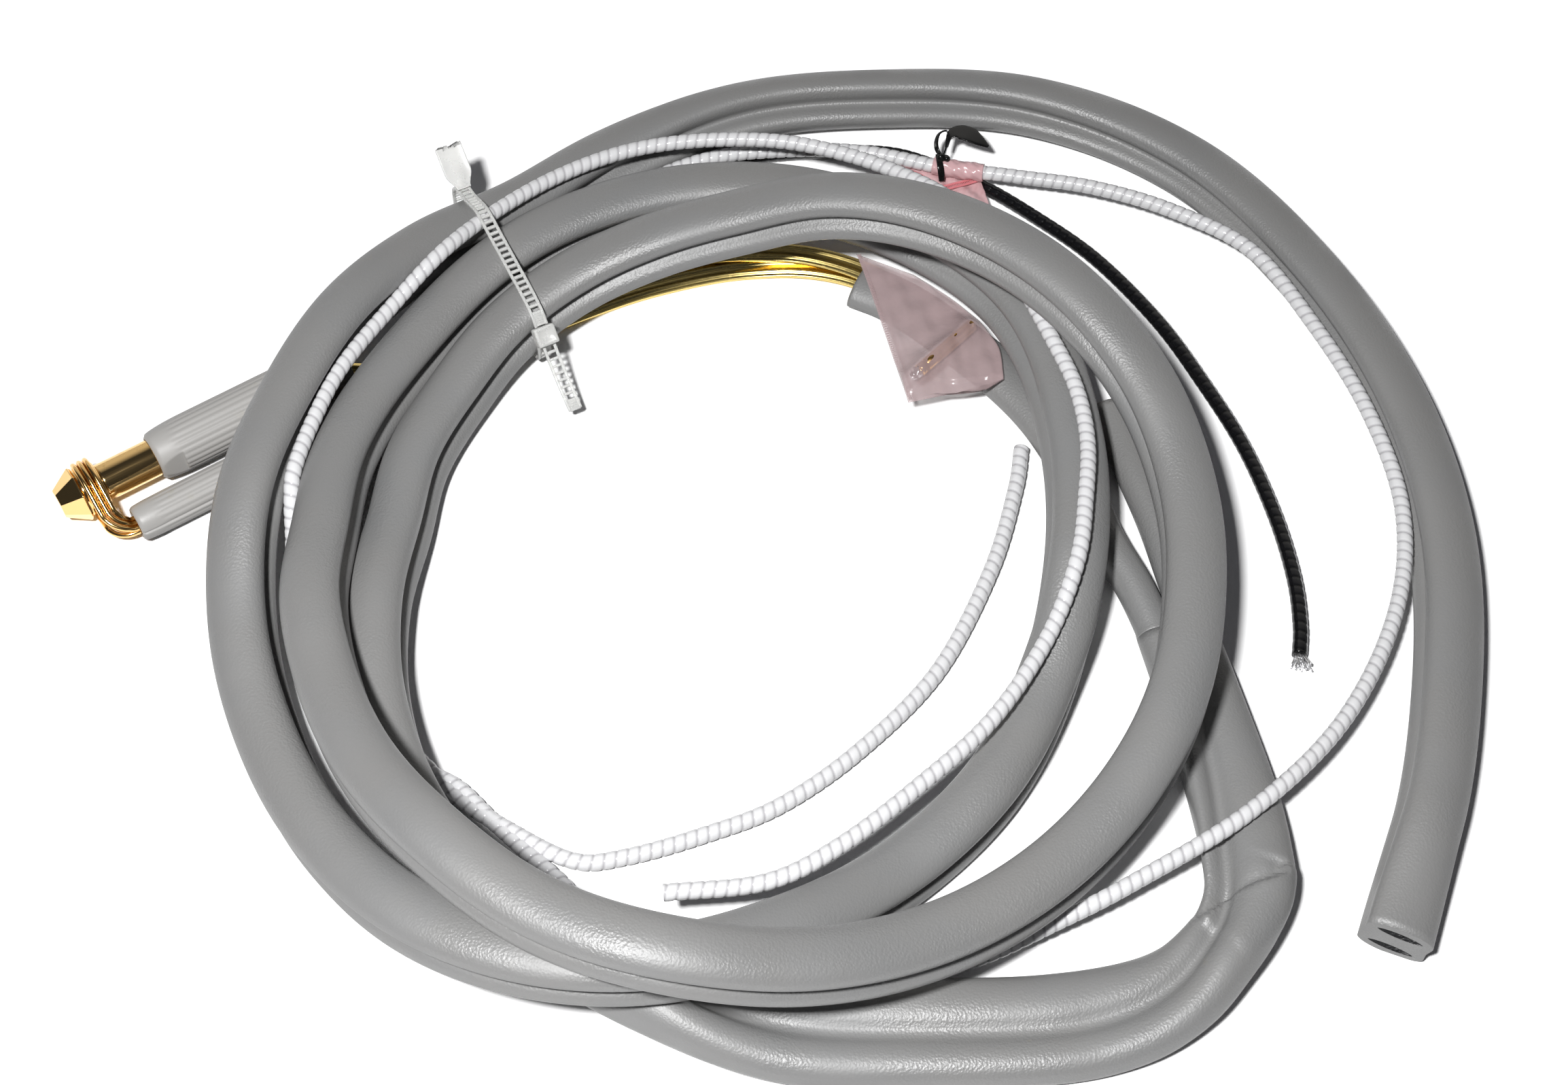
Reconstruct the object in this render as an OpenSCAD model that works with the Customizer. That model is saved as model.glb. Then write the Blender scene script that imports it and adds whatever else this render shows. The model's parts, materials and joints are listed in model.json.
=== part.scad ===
// Twin-bore cable release, put away in a hand-wound coil.
// A grey vinyl sheath carries two brass pull strips to a pair of ribbed grips, where a sprung
// gilt plunger with a faceted nose is hooked by a wound wire link. A cable tie holds the coil,
// and a spiral-wrapped white cable, a black braided cable and a small parts bag lie in it.
// Origin: middle of the coil's footprint, on the table. +X to the right, +Z up. Millimetres.

/* [Sheath] */
// Half width of each bore's oval
oval_half_w = 9.3; // [8.6:0.1:9.6]
// Half height of each bore's oval
oval_half_h = 5.2; // [4.8:0.1:5.4]
// Air between strands that lie on each other
strand_gap = 1; // [0.8:0.1:2]
// Depth of the flat that a strand has where it rests
foot_flat = 0.5; // [0.3:0.1:0.8]
// Thickness of the sheath's wall round a bore
sheath_wall = 1.9; // [1.2:0.1:2.4]
// Length of the straight cut end
cut_end_len = 34; // [16:1:40]
// Height of a flattened bore where the sheath is cut
bore_slit_h = 1.8; // [1:0.1:3]

/* [Brass strips] */
// Width of a pull strip
strip_w = 8; // [6:0.2:9]
// Thickness of a strip between its ribs
strip_t = 1.4; // [1:0.1:1.6]
// Height of the two ribs along a strip
strip_rib_h = 0.8; // [0.4:0.1:1]

/* [Head] */
// Angle of the grips' axis from +X
head_angle = 33.4; // [30:0.2:36]
// Height of the plunger's axis over the table
head_z = 10.5; // [10.4:0.1:12]
// Diameter of the gilt plunger tube
tube_d = 12.8; // [11:0.1:13]
// Wall of the plunger tube
tube_wall = 1.2; // [0.8:0.1:1.6]
// Length of the plunger tube
tube_len = 68; // [62:1:72]
// Length of the nose's faceted part
nose_len = 8.2; // [6:0.2:8.4]
// Diameter of the nose's front face, over its corners
nose_tip_d = 9.8; // [8:0.2:12]
// Diameter of the nose's shoulder, over its corners
nose_shoulder_d = 20.2; // [19:0.2:20.4]
// Diameter of the neck that the wire sits on
neck_d = 16.4; // [15.6:0.1:16.6]
// Diameter of the link's wire
wire_d = 1.8; // [1.4:0.1:1.8]
// How far the plunger is drawn out of its grip
plunger_travel = 8; // [4:1:8]
// Play of a sliding fit, on the radius
slide_play = 0.05; // [0.02:0.01:0.1]

/* [Grips] */
// Length of the upper grip
upper_len = 71; // [68:1:72]
// Diameter of the upper grip
upper_d = 18.4; // [17.6:0.1:19]
// Diameter of the upper grip's mouth
upper_mouth_d = 15; // [14.4:0.1:16]
// Length of the lower grip
lower_len = 67; // [60:1:68]
// Diameter of the lower grip
lower_d = 13; // [12:0.1:13.4]
// Diameter of the lower grip's front face
lower_mouth_d = 11.4; // [10.8:0.1:12]
// Distance between the two grips' axes in plan
grip_spacing = 18.6; // [18:0.1:20]
// Number of flutes round a grip
flute_count = 18; // [12:2:20]
// Radius of a flute's cutter
flute_r = 0.9; // [0.5:0.1:1.1]

/* [Cables] */
// Diameter of the white spiral-wrapped cable
white_d = 5.2; // [4.6:0.1:5.3]
// Diameter of the black braided cable
black_d = 5; // [4.4:0.1:5.2]

/* [Cable tie] */
// Width of the strap
tie_w = 4.8; // [4:0.1:5.4]
// Thickness of the strap
tie_t = 1.2; // [0.9:0.1:1.3]

/* [Parts bag] */
// Thickness of the filled film bag
bag_t = 1.6; // [1:0.1:2]
// Diameter of the spare pin
pin_d = 4.4; // [4:0.1:4.8]
// Length of the spare pin's brass body
pin_len = 27; // [22:1:28]

/* [Hidden] */
$fn = 48;

// Whole strand: two ovals, one on the other
strand_h = 4 * oval_half_h;
layer_h = strand_h + strand_gap;
floor_z = strand_h / 2 - foot_flat;
// Air under what lies on the table beside the sheath
table_gap = 0.2;

// The head's places, along the plunger's axis from the nose's tip
head_at = [-228.5, 3.4];
neck_len = 7;
neck_x = nose_len;
tube_x = neck_x + neck_len;
upper_x = 33.8;
lower_x = 18.2;
lower_z = lower_d / 2 + table_gap + 0.2 - head_z;
grip_wall = 1.3;
bush_len = 10;
bush_x = upper_x + 10;
bush_d = upper_d - 2 * grip_wall - 0.8;
chamber_x = bush_x + bush_len;
seat_len = 4;
seat_x = tube_x + tube_len - seat_len;
seat_d = bush_d;
chamber_d = bush_d + 2 * slide_play;
plug_len = 8;
mouth_len = 14;
spring_wire = 0.8;
spring_turns = 9;
slider_d = 8.7;
slider_len = 12;
slider_x = 46;
lower_bore_d = slider_d + 2 * slide_play;

// The coil, laid by hand round this centre: [angle, radius, layer, lean of its top outwards]
coil_centre = [-7, -8];
coil_step = 10;
coil_route = [
    [-28, 233.5, 0, 8], [-15, 228.5, 0, 8], [0, 227.5, 0, 10], [30, 225, 0, 12],
    [45, 224.5, 0, 15], [60, 214.5, 0.03, 25], [75, 196.5, 0.05, 35], [90, 183.5, 0.05, 35],
    [105, 168.5, 0.05, 18], [120, 156.5, 0.1, 4], [135, 153, 0.52, 2], [150, 150.5, 0.9, 4],
    [165, 151, 0.9, 6], [180, 155, 0.85, 8], [195, 158.8, 0.45, 10], [210, 162, 0.35, 8],
    [225, 166.5, 0.6, 4], [240, 170, 1, 0], [262, 161, 1.05, 0], [275, 146.5, 0.6, 0],
    [290, 132, 0.06, 0], [310, 120.5, 0, 0], [330, 111.5, 0.04, 0], [340, 109.5, 0.26, 4],
    [350, 108.5, 0.5, 6], [360, 109, 0.54, 6], [375, 112.5, 0.54, 8], [405, 127, 0.52, 12], [420, 131, 0.5, 10],
    [450, 136.5, 0.45, 6], [480, 134.5, 0.43, 2], [510, 129.5, 0.3, 4], [530, 130.2, 0.5, 6],
    [545, 130.5, 0.8, 6], [558, 135.6, 1.1, 6], [570, 140, 1.2, 4], [585, 147.5, 1.6, 2],
    [597, 154.5, 2.05, 0], [612, 163, 2.12, 0], [625, 167, 2.1, 0], [637, 166.5, 1.65, 0],
    [650, 163, 1.12, 0], [665, 159, 0.85, 0], [690, 152, 0.97, 0], [705, 146, 1.03, 0],
    [720, 141.5, 1.1, 0], [735, 136, 1.4, 0], [748, 129.5, 1.7, 0], [770, 121.5, 1.78, 0],
    [795, 113, 1.6, 5], [810, 109.5, 1.2, 5], [825, 109.5, 0.85, 5], [840, 111, 0.52, 4],
    [855, 111, 0.25, 6], [870, 109, 0.08, 8], [885, 109.5, 0.05, 10], [900, 109.7, 0.08, 11],
    [915, 116.8, 0.3, 6], [930, 127, 0.3, 4], [945, 138, 0.26, 2], [962, 150, 0.04, 0]];
coil_start = coil_route[0][0];
coil_end = coil_route[len(coil_route) - 1][0];

// The sheath's last run, past its kink: [x, y, lean, width share, height share, lift]
run_route = [
    [-52, -157.5, 16, 0.98, 1.03, 0], [-35, -165.5, 44, 0.9, 1.15, 0], [-17, -171.5, 68, 0.8, 1.32, 0],
    [1, -175, 82, 0.71, 1.5, 0], [19, -176.5, 88, 0.68, 1.58, 0], [43, -176.5, 90, 0.67, 1.58, 0],
    [75, -176, 90, 0.67, 1.58, 0], [95, -174.5, 90, 0.68, 1.56, 0], [113, -171.5, 84, 0.72, 1.48, 0],
    [127, -166.5, 74, 0.78, 1.34, 0], [137, -159, 64, 0.84, 1.22, 0.4], [145, -149, 60, 0.82, 1.2, 0.6],
    [149, -137, 64, 0.79, 1.26, 0.4], [148, -122, 76, 0.74, 1.3, 0], [144.5, -98, 86, 0.68, 1.31, 0],
    [138.5, -68, 90, 0.64, 1.27, 0], [132.5, -42, 90, 0.62, 1.23, 0]];
kink_row = 9;
// Past the split each tube goes on alone: [x, y, width share, height share]
stub_route = [[138.7, -40.6, 0.62, 1.23], [137.6, -35.7, 0.62, 1.23], [134.2, -22, 0.66, 1.2], [129.5, 0, 0.7, 1.15], [123.5, 22, 0.72, 1.1],
    [117, 46, 0.74, 1.06]];
end_tube_route = [[126.3, -43.4, 0.62, 1.23], [125.2, -38.8, 0.62, 1.23], [120, -24, 0.68, 1.18], [112, -6, 0.78, 1.08], [106, 14, 0.88, 1.02],
    [101, 31, 0.95, 1], [92.5, 47, 1, 1], [80, 62.5, 1, 1], [66, 76.5, 1, 1], [54, 87.5, 1, 1],
    [44, 94.5, 1, 1], [34, 99.5, 1, 1]];
end_bore_row = 8;
turn_rows = 5;

// Strips, from inside the end tube to the grips: [x, y, height]
strip_end_z = 5.4;
// How far the front strip reaches into the upper grip's plug
strip_reach = 4;
function head_plan(along, across, z) = [head_at[0] + along * cos(head_angle) - across * sin(head_angle),
    head_at[1] + along * sin(head_angle) + across * cos(head_angle), z];
front_strip_route = [[53, 89.5, 5], [44, 95.7, 4.9], [31, 103, 4.7], [15, 108.5, 4.2], [-2, 110.5, 3.2],
    [-19, 110.5, 1.6], [-42, 105.5, 0.4], [-67, 96, 0.4], [-92, 84.5, 0.4], [-109, 77.6, 0.4],
    [-121, 73, 0.6], [-131, 67.6, 2.4], head_plan(upper_x + upper_len + 1, 0, strip_end_z - 0.2),
    head_plan(upper_x + upper_len - strip_reach, 0, strip_end_z)];
rear_strip_route = [[53, 88, 2.3], [44, 94, 2.3], [31, 100.5, 2.2], [15, 104, 1.6], [-2, 104, 0.6],
    [-19, 101.5, 0.4], [-42, 94.5, 0.4], [-62, 86, 0.4], [-82, 76, 0.4], [-102, 65.5, 0.4],
    [-122, 52.5, 0.4], [-133.5, 44, 0.5], head_plan(lower_x + lower_len + 6, -grip_spacing, 1.7),
    head_plan(lower_x + lower_len + 0.3, -grip_spacing, 3.4)];

// White cable, from its end under the coil to its end beside the bag: [x, y, height]
white_route = [
    [-27, -141, 24], [3, -137.5, 24], [25, -125.5, 24], [49, -105.5, 24], [71, -84, 24.5],
    [89, -56.5, 26], [99, -33, 33.7], [103, -10, 35.4], [105, 12, 35], [102.5, 33, 35.2],
    [95.5, 54, 35.2], [87, 76, 35], [77, 100, 33], [65, 120, 27.5], [49, 134, 24],
    [31, 143.5, 23], [7, 150, 23], [-21, 150.5, 23], [-47, 145.5, 23], [-70, 133, 24.5],
    [-90, 114.5, 28], [-106.8, 91, 34], [-123.2, 70.6, 29.4], [-137.3, 44.8, 30.1], [-144.6, 22.7, 29.9],
    [-148.6, 4, 29.6], [-148.9, -5.5, 26.4], [-148.5, -14.5, 20.5], [-145.5, -45, 8.5], [-133, -73, 3], [-114, -87, 2.8],
    [-95, -94, 2.8], [-81, -107, 2.8], [-63, -124, 2.8], [-39, -146, 2.8], [-12, -154.5, 2.8],
    [18, -157, 2.8], [41, -157.5, 3.4], [64.5, -153.5, 6], [87.5, -144.5, 11], [110.5, -133.5, 14.5],
    [147.5, -111, 17.3], [179.5, -79, 15], [201.5, -38.5, 12.5], [209.3, 1.5, 11], [203, 41, 11.2],
    [188.6, 79, 11], [171, 109, 12.5], [145, 127, 12.5], [118.5, 138, 12], [92, 144, 11],
    [65, 150, 9.4], [37, 157.5, 9], [9, 158.5, 9], [-19, 154.5, 9], [-44.5, 142.5, 8],
    [-67.6, 125.5, 6], [-88, 108.8, 5], [-107, 90, 5], [-120.4, 72.2, 5.9], [-132.4, 52.2, 6.6],
    [-140.2, 30.5, 6.2], [-143.5, 8, 4], [-140, -22, 2.8], [-133, -50, 2.8], [-120, -71, 2.8],
    [-105, -86, 2.8], [-92, -99, 2.8], [-77, -109.5, 2.8], [-56, -120.5, 2.8], [-40, -119.5, 2.8],
    [-16, -112, 2.8], [7, -102, 2.8], [31.5, -83, 2.8], [56.5, -55, 2.8], [75, -17.5, 2.8],
    [84.5, 14, 2.8], [87.5, 31, 2.8]];
// Black cable, from its frayed end to its end under the white one
black_route = [[171.5, -49, 2.7], [173, -38, 2.7], [173, -20, 2.7], [169.5, 4, 2.7], [162, 32, 2.7],
    [151, 58.5, 2.7], [137.5, 85.5, 2.7], [118, 113, 2.7], [97, 133, 2.7], [78, 148, 2.7],
    [61, 157.5, 2.7], [44, 163, 2.7], [16, 163, 2.7], [-9, 159.5, 2.7], [-28.5, 153.5, 2.7]];

// The tie's loop lies in one upright plane: distance along it, height
tie_start = [-103, 124];
tie_angle = -63;
tie_loop = [[65.4, 20.8], [65.2, 16], [64.8, 9], [61.5, 4.8], [50, 3.9], [36, 3.9], [31, 2.3], [27, 1],
    [6, 1], [-4, 1.2], [-7.2, 4], [-8, 12], [-7.2, 20], [-3, 25.2], [5, 27.8], [11, 30.9], [18, 33.6],
    [29, 32.6], [41, 31.6], [54, 30.6], [61.7, 28.6], [65.5, 25.2]];
tie_tail_at = [70.6, 20.6];
tie_tail_slope = 42;
tie_tail_len = 24;
tie_slot_pitch = 2.6;

function unit(v) = v / norm(v);
function fold(list) = [for (part = list, item = part) item];

// Smooth reading of a table whose rows start with their station
function row_at(tab, t, i = 0) = (i >= len(tab) - 2 || t < tab[i + 1][0]) ? i : row_at(tab, t, i + 1);
function slope(tab, i, k) =
    let (last = len(tab) - 1,
         h0 = i > 0 ? tab[i][0] - tab[i - 1][0] : 1,
         h1 = i < last ? tab[i + 1][0] - tab[i][0] : 1)
    i == 0 ? (tab[1][k] - tab[0][k]) / h1
    : i == last ? (tab[last][k] - tab[last - 1][k]) / h0
    : (h0 * h0 * tab[i + 1][k] + (h1 * h1 - h0 * h0) * tab[i][k] - h1 * h1 * tab[i - 1][k])
        / (h0 * h1 * (h0 + h1));
function smooth(tab, t, k) =
    let (i = row_at(tab, t),
         h = tab[i + 1][0] - tab[i][0],
         s = (t - tab[i][0]) / h)
    (2 * s * s * s - 3 * s * s + 1) * tab[i][k] + (s * s * s - 2 * s * s + s) * h * slope(tab, i, k)
    + (3 * s * s - 2 * s * s * s) * tab[i + 1][k] + (s * s * s - s * s) * h * slope(tab, i + 1, k);
function indexed(route) = [for (i = [0:len(route) - 1]) concat([i], route[i])];
function smooth_point(tab, t) = [for (k = [1:len(tab[0]) - 1]) smooth(tab, t, k)];
function steps(first, last, count) = [for (i = [0:count]) first + (last - first) * i / count];

// One ring of a swept section: right-hand side and up vectors from its direction of travel
function side_of(along) = unit(cross(along, [0, 0, 1]));
function ring(centre, along, outline, lean = 0) =
    let (out = side_of(along),
         up = cross(out, along),
         v = up * cos(lean) + out * sin(lean),
         u = out * cos(lean) - up * sin(lean))
    [for (p = outline) centre + p[0] * u + p[1] * v];

// Outlines, all anticlockwise
waist_angle = 50;
function twin_outline(a, b, n = 7) =
    let (turn = 180 + 2 * waist_angle)
    concat(
        [for (i = [0:n - 1]) let (q = -waist_angle + i * turn / (n - 1)) [a * cos(q), b + b * sin(q)]],
        [for (i = [0:n - 1]) let (q = -waist_angle + i * turn / (n - 1)) [-a * cos(q), -b - b * sin(q)]]);
function oval_outline(a, b, n = 10) = [for (i = [0:n - 1]) let (q = i * 360 / n) [a * cos(q), b * sin(q)]];
function box_outline(w, h) = [[-w / 2, -h / 2], [w / 2, -h / 2], [w / 2, h / 2], [-w / 2, h / 2]];
function strip_outline() =
    let (w = strip_w / 2, rib = strip_w / 4, foot = strip_w / 8, crest = strip_w / 20, top = strip_t + strip_rib_h)
    [[-w, 0], [w, 0], [w, strip_t], [rib + foot, strip_t], [rib + crest, top], [rib - crest, top],
     [rib - foot, strip_t], [-rib + foot, strip_t], [-rib + crest, top], [-rib - crest, top],
     [-rib - foot, strip_t], [-w, strip_t]];

// A closed mesh through rings of equal length, with fanned or plain ends
module swept(rings, fanned = true) {
    n = len(rings[0]);
    m = len(rings);
    mid = [for (r = [rings[0], rings[m - 1]]) [for (k = [0:2]) [for (p = r) 1] * [for (p = r) p[k]] / n]];
    skin = [for (i = [0:m - 2], k = [0:n - 1]) let (a = i * n + k, b = i * n + (k + 1) % n)
        each [[a, b, a + n], [b, b + n, a + n]]];
    fans = [for (k = [0:n - 1]) each [[m * n, (k + 1) % n, k],
        [m * n + 1, (m - 1) * n + k, (m - 1) * n + (k + 1) % n]]];
    ends = [[for (k = [n - 1:-1:0]) k], [for (k = [0:n - 1]) (m - 1) * n + k]];
    polyhedron(points = concat(fold(rings), fanned ? mid : []), faces = concat(skin, fanned ? fans : ends));
}

// The coil's strand at an angle
function coil_point(a) =
    let (r = smooth(coil_route, a, 1))
    [coil_centre[0] + r * cos(a), coil_centre[1] + r * sin(a), floor_z + layer_h * smooth(coil_route, a, 2)];
function coil_along(a) = unit(coil_point(a + 0.5) - coil_point(a - 0.5));
function coil_ring(a, n = 7) =
    ring(coil_point(a), coil_along(a), twin_outline(oval_half_w, oval_half_h, n), smooth(coil_route, a, 3));

// Distance from a point to the strand's section at an angle, both in that section's own plane
function oval_gap(x, y) =
    let (q = norm([x / oval_half_w, y / oval_half_h]))
    norm([x, y]) * (1 - 1 / max(q, 0.001));
function strand_gap_at(p, c, u, v) =
    let (d = p - c)
    min(oval_gap(d * u, d * v - oval_half_h), oval_gap(d * u, d * v + oval_half_h));
function turn_gap(a, b) =
    let (c = coil_point(b), t = coil_along(b), out = side_of(t), up = cross(out, t),
         lean = smooth(coil_route, b, 3),
         v = up * cos(lean) + out * sin(lean), u = out * cos(lean) - up * sin(lean))
    min([for (p = coil_ring(a)) abs((p - c) * t) < 6 ? strand_gap_at(p, c, u, v) : 100]);
function coil_gap() = min([for (a = [coil_start:coil_step:coil_end], turn = [360, 720], d = [-12:3:12])
    let (b = a + turn + d) b < coil_end ? turn_gap(a, b) : 100]);

// The open run's rings: its section rests on the table at any lean
run_table = indexed(run_route);
function run_row(t) = let (s = smooth_point(run_table, t)) [s[0], s[1], s[2], oval_half_w * s[3], oval_half_h * s[4], s[5]];
function run_point(t) =
    let (s = run_row(t))
    [s[0], s[1], s[5] - foot_flat + s[4] * abs(cos(s[2])) + norm([s[3] * sin(s[2]), s[4] * cos(s[2])])];
function run_ring(t) =
    let (s = run_row(t), last = len(run_route) - 1)
    ring(run_point(t), unit(run_point(min(t + 0.02, last)) - run_point(max(t - 0.02, 0))),
        twin_outline(s[3], s[4]), s[2]);

// A route of points with one outline
function route_point(tab, t) = smooth_point(tab, t);
function route_along(tab, t) =
    unit(route_point(tab, min(t + 0.02, len(tab) - 1)) - route_point(tab, max(t - 0.02, 0)));
function route_rings(route, outline, per_point) =
    let (tab = indexed(route), last = len(route) - 1)
    [for (t = steps(0, last, per_point * last)) ring(route_point(tab, t), route_along(tab, t), outline)];

// A single tube's ring, lying flat: its shares of the sheath's oval turn over as it leaves the split
function tube_ring(route, t, wall = 0, past = 0) =
    let (tab = indexed(route),
         last = len(route) - 1,
         s = smooth_point(tab, t),
         a = smooth_point(tab, max(t - 0.02, 0)),
         b = smooth_point(tab, min(t + 0.02, last)),
         along = unit([b[0] - a[0], b[1] - a[1], 0]),
         flat = min(1, t / turn_rows),
         wide = oval_half_h * s[3] * (1 - flat) + oval_half_w * s[2] * flat,
         tall = oval_half_w * s[2] * (1 - flat) + oval_half_h * s[3] * flat)
    ring([s[0], s[1], tall - foot_flat] + past * along, along, oval_outline(wide - wall, tall - wall, 12));
function tube_rings(route, first, wall = 0) =
    let (last = len(route) - 1) [for (t = steps(first, last, round(2 * (last - first)))) tube_ring(route, t, wall)];

// Cuts a strand flat where it rests
module rested() {
    difference() {
        children();
        translate([-300, -300, -10]) cube([600, 600, 10]);
    }
}

// ---- Sheath ----
module sheath_cut_end() {
    start = coil_point(coil_start);
    along = coil_along(coil_start);
    color("darkgray")
    rested()
    translate(start)
    rotate([0, 0, atan2(along[1], along[0])])
    rotate([coil_route[0][3], 0, 0])
    rotate([0, -90, 0])
    linear_extrude(cut_end_len)
    difference() {
        polygon([for (p = twin_outline(oval_half_w, oval_half_h)) [p[1], p[0]]]);
        for (side = [-1, 1]) translate([side * oval_half_h, 0]) bore_slit();
    }
}
module bore_slit() {
    reach = oval_half_w - sheath_wall - bore_slit_h / 2;
    square([bore_slit_h, 2 * reach], center = true);
    for (side = [-1, 1]) translate([0, side * reach]) circle(d = bore_slit_h, $fn = 24);
}

module sheath_coil() {
    echo(str("Least gap between the coil's strands, mm: ", coil_gap()));
    color("darkgray") rested() swept([for (a = [coil_start:coil_step:coil_end]) coil_ring(a)]);
}

module sheath_outer_run() {
    color("darkgray") rested()
    swept(concat([coil_ring(coil_end)], [for (t = steps(0, kink_row, 2 * kink_row)) run_ring(t)]));
}

module sheath_kinked_run() {
    last = len(run_route) - 1;
    color("darkgray") rested() swept([for (t = steps(kink_row, last, 2 * (last - kink_row))) run_ring(t)]);
}

module sheath_cut_stub() {
    color("darkgray") rested() swept(tube_rings(stub_route, 0));
}

module sheath_end_tube() {
    last = len(end_tube_route) - 1;
    color("darkgray") rested()
    difference() {
        swept(tube_rings(end_tube_route, 0));
        swept(concat(tube_rings(end_tube_route, end_bore_row, sheath_wall),
            [tube_ring(end_tube_route, last, sheath_wall, 2)]));
    }
}

// ---- Cable tie ----
tie_dir = [cos(tie_angle), sin(tie_angle), 0];
tie_side = [-sin(tie_angle), cos(tie_angle), 0];
function tie_point(q, z) = [tie_start[0], tie_start[1], z] + q * tie_dir;
function tie_ring(tab, t, w, h) =
    let (last = len(tab) - 1,
         s = smooth_point(tab, t),
         a = smooth_point(tab, max(t - 0.02, 0)),
         b = smooth_point(tab, min(t + 0.02, last)),
         c = tie_point(s[0], s[1]),
         along = unit(tie_point(b[0], b[1]) - tie_point(a[0], a[1])),
         n = cross(tie_side, along))
    [for (p = box_outline(w, h)) c + p[0] * tie_side + p[1] * n];

module in_tie_plane() {
    translate([tie_start[0], tie_start[1], 0]) rotate([0, 0, tie_angle]) rotate([90, 0, 0]) children();
}

module cable_tie_strap() {
    tab = indexed(tie_loop);
    last = len(tie_loop) - 1;
    color("whitesmoke") swept([for (t = steps(0, last, 2 * last)) tie_ring(tab, t, tie_w, tie_t)]);
}

head_w = 7.4;
head_h = 5.4;
head_l = 6.6;
module cable_tie_head() {
    color("white")
    in_tie_plane()
    translate(tie_tail_at)
    rotate(-tie_tail_slope)
    translate([-head_l, -head_h / 2, -head_w / 2])
    difference() {
        cube([head_l, head_h, head_w]);
        translate([-1, head_h / 2 - tie_t / 2 - 0.15, head_w / 2 - tie_w / 2 - 0.15])
            cube([head_l + 2, tie_t + 0.3, tie_w + 0.3]);
    }
}

// The free end, a ladder of square slots, runs out of the head
module cable_tie_tail() {
    rail = tie_w / 5;
    slot_l = tie_slot_pitch * 0.6;
    inside = head_l * 0.5;
    count = floor((tie_tail_len - 3) / tie_slot_pitch);
    color("whitesmoke")
    in_tie_plane()
    translate(tie_tail_at)
    rotate(-tie_tail_slope)
    translate([-inside, -tie_t / 2, -tie_w / 2])
    difference() {
        cube([tie_tail_len + inside, tie_t, tie_w]);
        for (i = [0:count - 1])
            translate([inside + 1.4 + i * tie_slot_pitch, -1, rail]) cube([slot_l, tie_t + 2, tie_w - 2 * rail]);
    }
}

paddle_w = 9.4;
paddle_l = 14;
module cable_tie_paddle() {
    color("whitesmoke")
    in_tie_plane()
    translate([tie_loop[14][0] - 4.5, tie_loop[14][1] + tie_t / 2 + 0.1])
    rotate(150)
    translate([0, -tie_t / 2, 0])
    rotate([-90, 0, 0])
    linear_extrude(tie_t)
    polygon([[0, -tie_w / 2], [paddle_l * 0.4, -paddle_w / 2], [paddle_l, -paddle_w / 2],
        [paddle_l, paddle_w / 2], [paddle_l * 0.4, paddle_w / 2], [0, tie_w / 2]]);
}

// ---- Brass strips ----
module front_strip() {
    color("goldenrod") swept(route_rings(front_strip_route, strip_outline(), 2), false);
}

module rear_strip() {
    color("goldenrod") swept(route_rings(rear_strip_route, strip_outline(), 2), false);
}

// ---- Head ----
module at_head() {
    translate([head_at[0], head_at[1], head_z]) rotate([0, 0, head_angle]) children();
}
module at_lower() {
    at_head() translate([0, -grip_spacing, lower_z]) children();
}
// Revolve a half profile of [along, radius] points round the axis
module turned(points) {
    rotate([0, 90, 0]) rotate_extrude() polygon([for (p = points) [p[1], p[0]]]);
}
// A grip's straight part with shallow flutes along it
module fluted(d, from, to) {
    translate([from, 0, 0]) rotate([0, 90, 0]) linear_extrude(to - from)
    difference() {
        circle(d = d);
        for (i = [0:flute_count - 1])
            rotate((i + 0.5) * 360 / flute_count) translate([d / 2 + flute_r * 0.55, 0]) circle(r = flute_r, $fn = 16);
    }
}

// The flat on the upper grip's mouth, on the side that faces the lower grip
mouth_flat_len = 8.5;
mouth_flat_depth = 0.7;
mouth_flat_turn = 172;
module upper_grip() {
    r = upper_d / 2;
    m = upper_mouth_d / 2;
    end = upper_x + upper_len;
    lip = tube_d / 2 + 0.4;
    face = m + ((r + m) / 2 + 0.3 - m) * (mouth_flat_len - 0.5) / 8.5;
    color("gray")
    at_head()
    difference() {
        union() {
            turned([[upper_x, 0], [upper_x, m - 0.5], [upper_x + 0.5, m], [upper_x + 9, (r + m) / 2 + 0.3],
                [upper_x + mouth_len, r], [upper_x + mouth_len, 0]]);
            fluted(upper_d, upper_x + mouth_len, end);
        }
        turned([[upper_x - 1, 0], [upper_x - 1, lip], [bush_x, lip], [bush_x, bush_d / 2],
            [end + 1, bush_d / 2], [end + 1, 0]]);
        rotate([mouth_flat_turn, 0, 0]) translate([upper_x - 1, face - mouth_flat_depth, -r])
            cube([mouth_flat_len + 1, r, 2 * r]);
    }
}

module lower_grip() {
    r = lower_d / 2;
    m = lower_mouth_d / 2;
    b = lower_bore_d / 2;
    end = lower_x + lower_len;
    color("gray")
    at_lower()
    difference() {
        union() {
            turned([[lower_x, 0], [lower_x, m - 0.8], [lower_x + 0.8, m], [lower_x + mouth_len, r],
                [lower_x + mouth_len, 0]]);
            fluted(lower_d, lower_x + mouth_len, end);
        }
        turned([[lower_x - 1, 0], [lower_x - 1, b], [end + 1, b], [end + 1, 0]]);
    }
}

module upper_grip_plug() {
    end = upper_x + upper_len;
    slot = [plug_len + 2, strip_w + 0.6, strip_t + strip_rib_h + 0.6];
    color("dimgray")
    at_head()
    difference() {
        turned([[end - plug_len, 0], [end - plug_len, bush_d / 2], [end, bush_d / 2], [end, 0]]);
        translate([end - plug_len - 1, -slot[1] / 2, strip_end_z - 0.3 - head_z]) cube(slot);
    }
}

module lower_grip_plug() {
    end = lower_x + lower_len;
    color("dimgray")
    at_lower()
    turned([[end - plug_len, 0], [end - plug_len, lower_bore_d / 2], [end, lower_bore_d / 2], [end, 0]]);
}

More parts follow.
